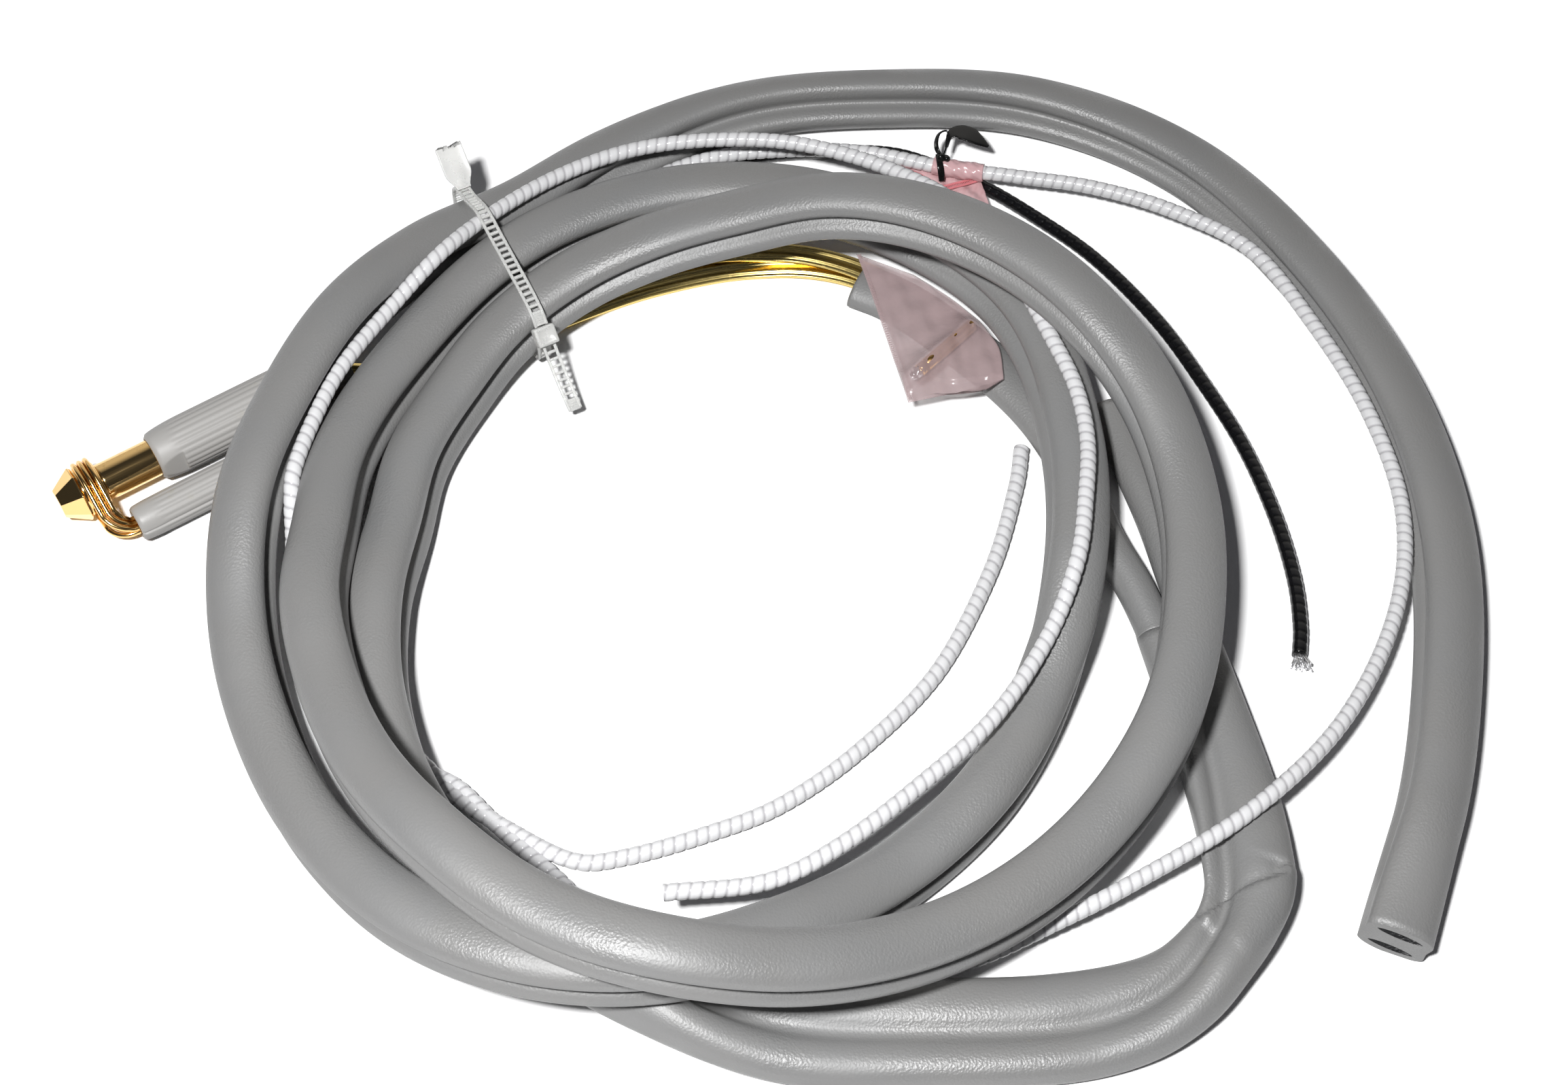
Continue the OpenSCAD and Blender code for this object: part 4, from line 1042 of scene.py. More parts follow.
# ---------------------------------------------------------------- sheath
@dataclass
class Sheath:
    """The twin-bore sheath: cut end, coil, and the run past the coil to its kink and split."""

    ring_step: float = 2.8 * MM
    points_per_oval: int = 24
    waist: float = 52.0
    flare_len: float = 46.0
    slit_depth: float = 22.0
    wall: float = 3.2
    slit_half_h: float = 1.5
    bend_at: Tuple[float, float] = (143.0, -158.0)
    bend_reach: float = 36.0
    bend_shift: Tuple[float, float] = (-4.2, 3.8)
    seam_rows: Rows = ((0, 0), (9, 0), (10.5, -0.3), (11.5, -0.75), (14, -0.75), (15, -0.4),
                       (16, 0))
    crease: Rows = ((128, -145.5), (132.2, -142), (136.8, -138.5), (145, -135.2), (152.9, -132.7),
                    (155.2, -130.3), (157, -126.5))
    fold_high: float = 2.3
    fold_low: float = 3.2

    def unit_outline(self) -> np.ndarray:
        """The section's points, with both half sizes 1."""
        turn = np.radians(np.linspace(-self.waist, 180 + self.waist, self.points_per_oval))
        upper = np.stack([np.cos(turn), 1 + np.sin(turn)], axis=1)
        edge_x, edge_y = upper[-1]
        web = np.array([(edge_x * 0.93, edge_y * 0.5), (edge_x * 0.9, 0.0),
                        (edge_x * 0.93, -edge_y * 0.5)])
        return np.concatenate([upper, web, -upper, -web])

    def spine(self) -> np.ndarray:
        """Rows of x, y, z, lean, half width and half height of one oval, in millimetres."""
        coil = SmoothTable.keyed(COIL_ROUTE)
        angle = np.arange(COIL_ROUTE[0][0], COIL_ROUTE[-1][0] + 0.01, 2.5)
        radius, layer, lean = coil.at(angle).T
        turn = np.radians(angle)
        wound = np.stack([
            COIL_CENTRE[0] + radius * np.cos(turn), COIL_CENTRE[1] + radius * np.sin(turn),
            FLOOR_Z + LAYER_H * layer, lean,
            np.full_like(angle, OVAL_W), np.full_like(angle, OVAL_H)], axis=1)
        straight = wound[0].copy()
        back = unit(wound[0, :3] - wound[1, :3])
        back[2] = 0.0
        steps = np.arange(CUT_END_LEN, 0.5, -4.0)
        start = np.repeat(straight[None], len(steps), axis=0)
        start[:, :3] += steps[:, None] * back[None]
        run = SmoothTable.spaced(RUN_ROUTE)
        row = np.arange(0, run.last + 0.01, 0.125)
        x, y, lean, wide, tall, lift = run.at(row).T
        off = np.hypot(x - self.bend_at[0], y - self.bend_at[1])
        pinch = np.exp(-(off / self.bend_reach) ** 2)
        x, y = x + self.bend_shift[0] * pinch, y + self.bend_shift[1] * pinch
        seam = SmoothTable.keyed(self.seam_rows).at(row)[:, 0]
        half_w, half_h = OVAL_W * wide, OVAL_H * tall
        tip = np.radians(lean)
        z = lift - FOOT_FLAT + half_h * np.abs(np.cos(tip)) + np.hypot(
            half_w * np.sin(tip), half_h * np.cos(tip))
        laid = np.stack([x, y, z, lean, half_w, half_h, seam], axis=1)
        plain = np.concatenate([start, wound])
        plain = np.concatenate([plain, np.zeros((len(plain), 1))], axis=1)
        return np.concatenate([plain, laid])

    def sections(self) -> Tuple[np.ndarray, np.ndarray]:
        """The spine at even steps, and the distance along it, in metres."""
        rough = self.spine()
        rough[:, :3] *= MM
        rough[:, 4:6] *= MM
        stations = arc_lengths(rough[:, :3])
        table = SmoothTable(stations, rough)
        even = np.linspace(0, stations[-1], int(stations[-1] / self.ring_step))
        rows = table.at(even)
        close = np.hypot(rows[:, 0] - self.bend_at[0] * MM, rows[:, 1] - self.bend_at[1] * MM)
        tight = even[(close < 42 * MM) & (even > even[-1] / 2)]
        fine = np.linspace(tight[0], tight[-1], int((tight[-1] - tight[0]) / (0.9 * MM)))
        even = np.concatenate([even[even < tight[0]], fine, even[even > tight[-1]]])
        return table.at(even), even

    def rings(self) -> Tuple[np.ndarray, np.ndarray, np.ndarray]:
        """The skin's rings, with the run along it and the spine's rows."""
        rows, run = self.sections()
        outline = self.unit_outline()
        side, up = level_frames(rows[:, :3], rows[:, 3])
        flare = ease(1 - run / (self.flare_len * MM))
        half_w = rows[:, 4] * (1 + 0.1 * flare)
        half_h = rows[:, 5] * (1 - 0.2 * flare)
        high = outline[None, :, 1] + rows[:, 6:7] * (1 - (outline[None, :, 1] / 2) ** 2)
        wide = np.repeat(outline[None, :, 0], len(rows), axis=0)
        full = np.sign(wide) * (0.94 + 0.06 * np.abs(outline[None, :, 1]))
        filled = ease((flare[:, None] - 0.25) / 0.6) * (np.abs(outline[None, :, 1]) < 1)
        wide = wide + filled * (full - wide)
        rings = (rows[:, None, :3]
                 + (half_w[:, None] * wide)[..., None] * side[:, None]
                 + (half_h[:, None] * high)[..., None] * up[:, None])
        sink = rings[..., 2].min(axis=1) + FOOT_FLAT * MM
        rings[..., 2] -= (sink * (flare > 0))[:, None]
        rings[..., 2] += self._fold(rings)
        rings[..., 2] = np.maximum(rings[..., 2], 0.0)
        return rings, run, rows

    def _fold(self, points: np.ndarray) -> np.ndarray:
        """How far the fold at the kink lifts or sinks each point."""
        plan = points[..., :2] / MM
        best = np.full(plan.shape[:2], 1e9)
        signed = np.zeros(plan.shape[:2])
        place = np.zeros(plan.shape[:2])
        crease = np.array(self.crease, float)
        for k, (a, b) in enumerate(zip(crease, crease[1:])):
            step = b - a
            share = np.clip(((plan - a) @ step) / (step @ step), 0, 1)
            gap = plan - (a + share[..., None] * step)
            reach = np.linalg.norm(gap, axis=-1)
            nearer = reach < best
            cross = step[0] * gap[..., 1] - step[1] * gap[..., 0]
            signed = np.where(nearer, np.sign(cross) * reach, signed)
            place = np.where(nearer, k + share, place)
            best = np.minimum(best, reach)
        ends = ease(place / 0.7) * ease((len(crease) - 1 - place) / 0.6)
        raised = self.fold_high * np.exp(-np.maximum(-signed, 0) / 8) * ease(-signed / 1.3 + 0.5)
        sunk = self.fold_low * np.exp(-np.maximum(signed, 0) / 5) * ease(signed / 1.3 + 0.5)
        top = ease((points[..., 2] / MM - 6) / 5)
        return (raised - sunk) * ends * top * (best < 40) * MM

    def build(self, shop: Workshop) -> bpy.types.Object:
        rings, run, rows = self.rings()
        skin = Skin()
        first = skin.add_rings(rings, run / MAP_UNIT)
        around = rings.shape[1]
        many = len(rings)
        self._slit_cap(skin, first, rings[0], rings[1])
        end = [first + (many - 1) * around + k for k in range(around)]
        skin.add_fan(end, rings[-1].mean(axis=0))
        piece = shop.place("sheath", skin.mesh("sheath"), SHEATH_VINYL, replaces=(
            "sheath_cut_end", "sheath_coil", "sheath_outer_run", "sheath_kinked_run"))
        LOG.info("sheath is %.3f m long", run[-1])
        return piece

    def _slit_cap(self, skin: Skin, first: int, ring: np.ndarray, second: np.ndarray) -> None:
        """Closes the cut end with a face that has two flattened bores in it, painted near-black
        inside as shade.
        """
        centre = ring.mean(axis=0)
        inward = unit(second.mean(axis=0) - centre)
        n = self.points_per_oval
        web = n + 1
        far_web = web + n + 3
        half = far_web - web
        left, right = ring[web], ring[far_web]
        chord_count = 6
        shares = np.linspace(0, 1, chord_count + 2)[1:-1]
        chord = left[None] * (1 - shares)[:, None] + right[None] * shares[:, None]
        chord_first = skin.add_points(chord)
        chord_ids = [chord_first + k for k in range(chord_count)]
        upper = [first + (far_web + k) % len(ring) for k in range(len(ring) - half + 1)]
        lower = [first + web + k for k in range(half + 1)]
        wide = unit(right - left)
        tall = unit(np.cross(inward, wide))
        for loop_ids, chord_part in ((upper, chord_ids), (lower, chord_ids[::-1])):
            loop = loop_ids + chord_part
            every = np.concatenate(skin.points)[loop]
            middle = every[: len(loop_ids)].mean(axis=0)
            off = every - middle
            angle = np.arctan2(off @ tall * 1.8, off @ wide)
            reach = self.wall * MM
            half_w = np.abs(off @ wide).max() - reach
            slit = (middle[None] + (half_w * np.cos(angle))[:, None] * wide[None]
                    + (self.slit_half_h * MM * np.sin(angle) * np.abs(np.sin(angle)) ** 0.3
                       )[:, None] * tall[None])
            deep = slit + inward[None] * self.slit_depth * MM
            lip = skin.add_points(slit)
            bottom = skin.add_points(deep)
            count = len(loop)
            # The bore walls and bottom get the U that the vinyl paints near-black as shade.
            for k in range(count):
                m = (k + 1) % count
                skin.add_face((loop[m], loop[k], lip + k, lip + m), hard=True)
                skin.add_face((lip + m, lip + k, bottom + k, bottom + m), PAINTED_SHADE_U)
            skin.add_fan([bottom + k for k in range(count)][::-1], deep.mean(axis=0), PAINTED_SHADE_U)


@dataclass
class SplitTube:
    """One of the two tubes past the sheath's split, lying flat on the table."""

    name: str
    node: str
    route: Rows
    bore_row: Optional[float] = None
    around: int = 36
    wall: float = 1.9

    def _rings(self, first: float, wall: float) -> Tuple[np.ndarray, np.ndarray]:
        """Rings from a row to the last, with a wall taken off."""
        table = SmoothTable.spaced(self.route)
        t = np.arange(first, table.last + 0.01, 0.1)
        x, y, wide_share, tall_share = table.at(t).T
        flat = np.clip(t / TURN_ROWS, 0, 1)
        wide = OVAL_H * tall_share * (1 - flat) + OVAL_W * wide_share * flat
        tall = OVAL_W * wide_share * (1 - flat) + OVAL_H * tall_share * flat
        line = np.stack([x, y, tall - FOOT_FLAT], axis=1) * MM
        level = line.copy()
        level[:, 2] = 0
        side, up = level_frames(level, np.zeros(len(t)))
        angle = circle(self.around)
        half_w, half_h = ((half - wall) * MM for half in (wide, tall))
        rings = (line[:, None]
                 + half_w[:, None, None] * np.cos(angle)[None, :, None] * side[:, None]
                 + half_h[:, None, None] * np.sin(angle)[None, :, None] * up[:, None])
        rings[..., 2] = np.maximum(rings[..., 2], wall * MM * 0.5)
        return rings, arc_lengths(line)

    def build(self, shop: Workshop) -> bpy.types.Object:
        """Makes the tube."""
        rings, run = self._rings(0.0, 0.0)
        skin = Skin()
        first = skin.add_rings(rings, run / MAP_UNIT)
        skin.add_fan([first + k for k in range(self.around)][::-1], rings[0].mean(axis=0))
        last = first + (len(rings) - 1) * self.around
        mouth = [last + k for k in range(self.around)]
        if self.bore_row is None:
            skin.add_fan(mouth, rings[-1].mean(axis=0))
        else:
            inner, inner_run = self._rings(self.bore_row, self.wall)
            start = skin.add_rings(inner[::-1], inner_run / MAP_UNIT)
            for k in range(self.around):
                m = (k + 1) % self.around
                skin.add_face((mouth[k], mouth[m], start + m, start + k))
            deep = start + (len(inner) - 1) * self.around
            skin.add_fan([deep + k for k in range(self.around)], inner[0].mean(axis=0))
        return shop.place(self.name, skin.mesh(self.name), SHEATH_VINYL, replaces=(self.node,))


# ---------------------------------------------------------------- turned, swept and repeated work
@dataclass(frozen=True)
class Axis:
    """A level line in the layout that turned pieces are built along, in millimetres."""

    start: Tuple[float, float, float]
    heading: float

    def place(self, local: np.ndarray) -> np.ndarray:
        """Points along, left of and above the line, put into the layout in metres."""
        turn = math.radians(self.heading)
        x, y, z = np.moveaxis(np.asarray(local, float), -1, 0)
        return MM * np.stack([
            self.start[0] + x * math.cos(turn) - y * math.sin(turn),
            self.start[1] + x * math.sin(turn) + y * math.cos(turn),
            self.start[2] + z], axis=-1)

    def turned(self, profile: Rows, around: int, relief: Optional[Callable] = None) -> np.ndarray:
        """Rings of a turned form.

        Args:
            profile: place along and radius of each ring.
            around: points in a ring.
            relief: gives the radius from place, radius and angle, for a form that isn't round.
        """
        table = np.array(profile, float)
        angle = circle(around)
        along = np.repeat(table[:, :1], around, axis=1)
        radius = np.repeat(table[:, 1:2], around, axis=1)
        if relief:
            radius = relief(along, radius, np.degrees(angle)[None])
        return self.place(np.stack(
            [along, radius * np.cos(angle), radius * np.sin(angle)], axis=-1))


HEAD_AXIS = Axis((*HEAD_AT, HEAD_Z), HEAD_ANGLE)
LOWER_AXIS = Axis((
    HEAD_AT[0] + GRIP_SPACING * math.sin(math.radians(HEAD_ANGLE)),
    HEAD_AT[1] - GRIP_SPACING * math.cos(math.radians(HEAD_ANGLE)),
    HEAD_Z - LOWER_DROP), HEAD_ANGLE)


def sweep(skin: Skin, line: np.ndarray, section: np.ndarray, side: np.ndarray, up: np.ndarray,
          size: Optional[np.ndarray] = None) -> None:
    """Adds a closed form: one flat section carried along a line.

    Args:
        skin: where it goes.
        line: the line's points.
        section: points to the side and up, anticlockwise for someone who looks back along it.
        side: the side vector at each point.
        up: the up vector at each point.
        size: the section's size at each point, or its width and height.
    """
    scale = np.ones((len(line), 2)) if size is None else np.asarray(size, float)
    if scale.ndim == 1:
        scale = np.stack([scale, scale], axis=1)
    flat = section[None] * scale[:, None]
    rings = line[:, None] + flat[..., :1] * side[:, None] + flat[..., 1:] * up[:, None]
    skin.add_closed(rings[:, ::-1], arc_lengths(line) / MAP_UNIT)


def oval(wide: float, tall: float, count: int) -> np.ndarray:
    """An oval section."""
    turn = circle(count)
    return np.stack([wide * np.cos(turn), tall * np.sin(turn)], axis=1)


def soft_box(wide: float, tall: float, corner: float, steps: int = 2) -> np.ndarray:
    """A rectangle with rounded corners, as a section."""
    points = []
    for quarter, (sx, sy) in enumerate(((1, 1), (-1, 1), (-1, -1), (1, -1))):
        for k in range(steps + 1):
            turn = math.radians(90 * (quarter + k / steps))
            points.append((sx * (wide - corner) + corner * math.cos(turn),
                           sy * (tall - corner) + corner * math.sin(turn)))
    return np.array(points)


@dataclass
class Repeater:
    """Sets one small item at many places, each turned to its own two directions."""

    name: str
    jitter: float = 0.0
    seed: int = 7

    def _tree(self) -> bpy.types.NodeTree:
        """The geometry tree: places to points, items on them, made real, with a material."""
        tree = bpy.data.node_groups.new(self.name, "GeometryNodeTree")
        for label, kind in (("Places", "NodeSocketGeometry"), ("Item", "NodeSocketObject"),
                            ("Jitter", "NodeSocketFloat"), ("Seed", "NodeSocketInt"),
                            ("Finish", "NodeSocketMaterial")):
            tree.interface.new_socket(label, in_out="INPUT", socket_type=kind)
        tree.interface.new_socket("Geometry", in_out="OUTPUT", socket_type="NodeSocketGeometry")
        board = NodeBoard(tree)
        give = board.add("NodeGroupInput")
        points = board.add("GeometryNodeMeshToPoints", Mesh=give.outputs["Places"])
        turns = None
        for label, axis, pivot in (("along", "X", "AUTO"), ("up", "Z", "X")):
            named = board.add("GeometryNodeInputNamedAttribute", {"data_type": "FLOAT_VECTOR"},
                              Name=label)
            turn = board.add("FunctionNodeAlignRotationToVector",
                             {"axis": axis, "pivot_axis": pivot}, Vector=named.outputs[0])
            if turns:
                board.set(turn.inputs["Rotation"], turns)
            turns = turn.outputs[0]
        item = board.add("GeometryNodeObjectInfo", Object=give.outputs["Item"])
        low = board.math("SUBTRACT", 1.0, give.outputs["Jitter"])
        high = board.math("ADD", 1.0, give.outputs["Jitter"])
        chance = board.add("FunctionNodeRandomValue", {"data_type": "FLOAT"},
                           Seed=give.outputs["Seed"], in2=low, in3=high)
        placed = board.add("GeometryNodeInstanceOnPoints", Points=points.outputs[0],
                           Instance=item.outputs["Geometry"], Rotation=turns,
                           Scale=chance.outputs[1])
        real = board.add("GeometryNodeRealizeInstances", Geometry=placed.outputs[0])
        last = board.add("GeometryNodeSetMaterial", Geometry=real.outputs[0],
                         Material=give.outputs["Finish"])
        out = board.add("NodeGroupOutput")
        tree.links.new(last.outputs[0], out.inputs[0])
        return tree

    def run(self, item: bpy.types.Mesh, places: np.ndarray, along: np.ndarray, up: np.ndarray,
            finish: bpy.types.Material) -> bpy.types.Mesh:
        """Makes the plain mesh of all copies."""
        mesh = bpy.data.meshes.new(self.name + "_places")
        mesh.from_pydata(np.asarray(places).tolist(), [], [])
        for label, values in (("along", along), ("up", up)):
            layer = mesh.attributes.new(label, "FLOAT_VECTOR", "POINT")
            layer.data.foreach_set("vector", np.ascontiguousarray(values, float).ravel())
        holder = add_to_scene(self.name + "_holder", mesh)
        pattern = add_to_scene(self.name + "_item", item)
        modifier = holder.modifiers.new("repeat", "NODES")
        modifier.node_group = self._tree()
        wanted = {"Item": pattern, "Jitter": self.jitter, "Seed": self.seed, "Finish": finish}
        for socket in modifier.node_group.interface.items_tree:
            if socket.item_type == "SOCKET" and socket.name in wanted:
                modifier[socket.identifier] = wanted[socket.name]
        bpy.context.view_layer.update()
        seen = holder.evaluated_get(bpy.context.evaluated_depsgraph_get())
        made = bpy.data.meshes.new_from_object(seen)
        for extra in (holder, pattern):
            bpy.data.objects.remove(extra)
        return made


def joined(name: str, *meshes: bpy.types.Mesh) -> bpy.types.Mesh:
    """One smooth mesh out of several."""
    both = bmesh.new()
    for mesh in meshes:
        both.from_mesh(mesh)
    return mesh_of(both, name)


def block_mesh(name: str, size: Sequence[float], bevel: float, segments: int = 2) -> bpy.types.Mesh:
    """A small block with rounded edges, centred, in metres."""
    shape = bmesh.new()
    bmesh.ops.create_cube(shape, size=1.0)
    bmesh.ops.scale(shape, vec=Vector(size) * MM, verts=shape.verts)
    bmesh.ops.bevel(shape, geom=list(shape.edges), offset=bevel * MM, segments=segments,
                    affect="EDGES", profile=0.6)
    return mesh_of(shape, name)


# ---------------------------------------------------------------- head
@dataclass
class Grip:
    """A ribbed plastic grip: a blunt smooth mouth, then shallow flutes to its end."""

    name: str
    axis: Axis
    start: float
    length: float
    radius: float
    mouth: float
    bore: Rows
    flat_turn: Optional[float] = None
    seam_turn: Optional[float] = None
    flutes: int = 26
    flute_depth: float = 0.24
    mouth_len: float = 14.0
    flat_len: float = 8.5
    flat_reach: float = 7.88

    def _outer(self) -> List[Tuple[float, float]]:
        """Places along and radii from the mouth to the end."""
        rows = [(0.0, self.mouth - 0.7), (0.12, self.mouth - 0.3), (0.4, self.mouth - 0.08)]
        rise = self.radius - self.mouth
        for s in (0.9, 1.6, 2.4, 3.3, 4.2, 5.1, 6, 7, 7.8, 8.45, 8.5, 9.2, 10.4, 11.8, 13.2, 14):
            bulge = math.sqrt(max(0.0, 1 - (1 - s / self.mouth_len) ** 2))
            rows.append((s, self.mouth + rise * bulge))
        count = 18
        for k in range(1, count + 1):
            rows.append((self.mouth_len + (self.length - self.mouth_len - 0.8) * k / count,
                         self.radius))
        rows += [(self.length - 0.3, self.radius - 0.25), (self.length, self.radius - 0.8)]
        return [(self.start + s, r) for s, r in rows]

    def _relief(self, along: np.ndarray, radius: np.ndarray, angle: np.ndarray) -> np.ndarray:
        """Flutes, the flat on the mouth and the moulding seam."""
        s = along - self.start
        fade = ease((s - 5.5) / 5) * ease((self.length - s) / 1.5)
        wave = np.abs(np.cos(np.radians(angle) * self.flutes / 2)) ** 3
        skin = radius > self.mouth - 0.75
        out = radius - self.flute_depth * fade * wave * skin
        if self.flat_turn is not None:
            off = np.cos(np.radians(angle - self.flat_turn))
            reach = np.where(off > 0.2, self.flat_reach / np.maximum(off, 0.2), 99)
            out = np.where((s < self.flat_len - 0.02) & skin, np.minimum(out, reach), out)
        if self.seam_turn is not None:
            off = (angle - self.seam_turn + 180) % 360 - 180
            band = ease((off - 2) / 4) * ease((40 - off) / 6)
            out = out + skin * (0.25 * band * (1 - fade * 0.2) - 0.35 * np.exp(-(off / 2.2) ** 2))
        return out

    def build(self, shop: Workshop) -> None:
        """Makes the grip."""
        skin = Skin()
        around = self.flutes * 8
        outer = self._outer()
        inner = [(self.start + s, r) for s, r in self.bore]
        rings = np.concatenate([
            self.axis.turned(outer, around, self._relief), self.axis.turned(inner, around)])
        skin.add_rings(rings, looped=True)
        shop.place(self.name + "_shell", skin.mesh(self.name), GRIP_PLASTIC,
                   replaces=(self.name,))


@dataclass
class PlungerHead:
    """The gilt tube, its faceted nose and the wire link that hooks it."""

    tube_x: float = 15.2
    tube_len: float = 68.0
    tube_r: float = 6.4
    nose_len: float = 8.2
    nose_tip_r: float = 4.9
    nose_shoulder_r: float = 10.1
    nose_sides: int = 8
    neck_r: float = 8.2
    wire_r: float = 0.9
    strands: int = 3
    strand_gap: float = 0.25
    link_leaves: Tuple[float, float] = (122.0, -112.0)
    spring_span: Tuple[float, float] = (54.2, 78.8)
    spring_turns: int = 9
    spring_r: float = 6.95
    spring_wire_r: float = 0.4

    def build(self, shop: Workshop) -> None:
        """Makes the four pieces."""
        self._tube(shop)
        self._nose(shop)
        self._link(shop)
        self._spring(shop)

    def _tube(self, shop: Workshop) -> None:
        """The plunger's thin tube."""
        x, end, r, bore = self.tube_x, self.tube_x + self.tube_len, self.tube_r, self.tube_r - 1.2
        profile = [(x, r - 0.2), (x + 0.2, r), (x + 1, r), (32, r), (50, r), (70, r),
                   (end - 0.2, r), (end, r - 0.2), (end, bore + 0.1), (end - 0.1, bore),
                   (70, bore), (50, bore), (32, bore), (x + 0.1, bore), (x, bore + 0.1)]
        skin = Skin()
        skin.add_rings(HEAD_AXIS.turned(profile, 96), looped=True)
        shop.place("plunger_sleeve", skin.mesh("plunger_sleeve"), GILT_POLISH, Body.PLUNGER,
                   replaces=("plunger_tube",))

    def _nose(self, shop: Workshop) -> None:
        """An eight-sided nose with softened edges on a turned neck."""
        shape = bmesh.new()
        slope = (self.nose_shoulder_r - self.nose_tip_r) / self.nose_len
        rim = 0.9
        stations = ((0.0, self.nose_tip_r),
                    (self.nose_len - rim, self.nose_shoulder_r - rim * slope),
                    (self.nose_len, self.nose_shoulder_r - 1.3))
        rings = [[shape.verts.new(p) for p in ring]
                 for ring in HEAD_AXIS.turned(stations, self.nose_sides)]
        for low, high in zip(rings, rings[1:]):
            for k in range(self.nose_sides):
                m = (k + 1) % self.nose_sides
                shape.faces.new((low[k], low[m], high[m], high[k]))
        shape.faces.new(rings[0][::-1])
        shape.faces.new(rings[-1])
        bmesh.ops.bevel(shape, geom=list(shape.edges), offset=0.28 * MM, segments=2,
                        affect="EDGES", profile=0.7)
        facets = mesh_of(shape, "nose_facets")
        neck, n = Skin(), self.neck_r
        profile = [(self.nose_len - 0.8, 0.4), (self.nose_len - 0.8, n), (self.nose_len + 0.4, n),
                   (self.tube_x - 0.7, n), (self.tube_x - 0.2, n - 0.2), (self.tube_x, n - 0.7),
                   (self.tube_x, 5.15), (self.tube_x + 0.2, 5.12), (self.tube_x + 9, 5.12),
                   (self.tube_x + 9, 0.4)]
        neck.add_closed(HEAD_AXIS.turned(profile, 64))
        mesh = joined("nose", facets, neck.mesh("nose_neck"))
        flat = [face.area > 6 * MM * MM and index < len(facets.polygons)
                for index, face in enumerate(mesh.polygons)]
        mesh.polygons.foreach_set("use_smooth", [not f for f in flat])
        shop.place("nose", mesh, GILT_POLISH, Body.PLUNGER, replaces=("nose_cone",))

    def strand(self, k: int) -> np.ndarray:
        """The middle line of strand k, from the lower grip round the neck and back."""
        pitch = 2 * self.wire_r + self.strand_gap
        turn_r = self.neck_r + self.wire_r + 0.12
        near_x = self.nose_len + 1.4
        bend_r = 3.6
        bend_x, bend_y = near_x + 2 * pitch + bend_r, pitch - GRIP_SPACING + bend_r
        leave = self.link_leaves

        def leg(side: int) -> List[Tuple[float, float, float]]:
            """The points from the lower grip up to the neck, on one side of it."""
            low = -LOWER_DROP + side * pitch / 2
            a = math.radians(leave[0] if side > 0 else leave[1])
            top = turn_r * math.sin(a) - (bend_y - turn_r * math.cos(a)) * math.cos(a) / math.sin(a)
            r = bend_r + (2 - k) * pitch
            straight = [(x, (k - 1) * pitch - GRIP_SPACING, low) for x in (46, 32, bend_x + 4)]
            return straight + [
                (bend_x - r * math.sin(q), bend_y - r * math.cos(q), low + (top - low) * i / 5)
                for i in range(6) for q in (math.radians(18 * i),)]

        turn = [(near_x + k * pitch, turn_r * math.cos(q), turn_r * math.sin(q))
                for i in range(11)
                for q in (math.radians(leave[0] + (leave[1] - leave[0]) * i / 10),)]
        fine = smooth_rows(leg(1) + turn + leg(-1)[::-1], 400)
        return even_line(HEAD_AXIS.place(fine), 0.5 * MM)

    def _link(self, shop: Workshop) -> None:
        """The wound wire link."""
        skin = Skin()
        for k in range(self.strands):
            line = self.strand(k)
            side, up = turning_frames(line)
            sweep(skin, line, oval(self.wire_r * MM, self.wire_r * MM, 14), side, up)
        shop.place("wire_link", skin.mesh("wire_link"), GILT_WIRE, Body.LINK,
                   replaces=("link_wire",))

    def _spring(self, shop: Workshop) -> None:
        """The return spring: a helix round the plunger's axis."""
        low, high = self.spring_span
        share = np.linspace(0, 1, 24 * self.spring_turns + 1)
        turn = 2 * math.pi * self.spring_turns * share
        line = HEAD_AXIS.place(np.stack([
            low + (high - low) * share, self.spring_r * np.cos(turn),
            self.spring_r * np.sin(turn)], axis=1))
        skin = Skin()
        size = self.spring_wire_r * MM
        sweep(skin, line, oval(size, size, 10), *turning_frames(line))
        piece = shop.place("return_coil", skin.mesh("return_coil"), SPRING_STEEL, None,
                           replaces=("return_spring",))
        first, last = HEAD_AXIS.place(np.array([(low, 0.0, 0.0), (high, 0.0, 0.0)]))
        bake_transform(piece)


@dataclass
class BrassStrip:
    """A flat brass strip with two pressed ribs along it."""

    name: str
    route: Rows

    def build(self, shop: Workshop) -> None:
        """Makes the strip."""
        rib = [(0.9, 1.4), (1.25, 1.6), (1.55, 2.05), (1.8, 2.2), (2.2, 2.2), (2.45, 2.05),
               (2.75, 1.6), (3.1, 1.4)]
        right = [(0.0, 0.12), *rib, (3.75, 1.4), (4.0, 1.2), (4.0, 0.2), (3.8, 0.0)]
        half = right[1:]
        section = np.array(half[::-1] + [(-x, y) for x, y in half]) * MM
        line = even_line(smooth_rows(self.route, 400) * MM, 2.0 * MM)
        side, up = level_frames(line, np.zeros(len(line)))
        skin = Skin()
        sweep(skin, line, section, side, up)
        shop.place(self.name + "_brass", skin.mesh(self.name), STRIP_BRASS, replaces=(self.name,))


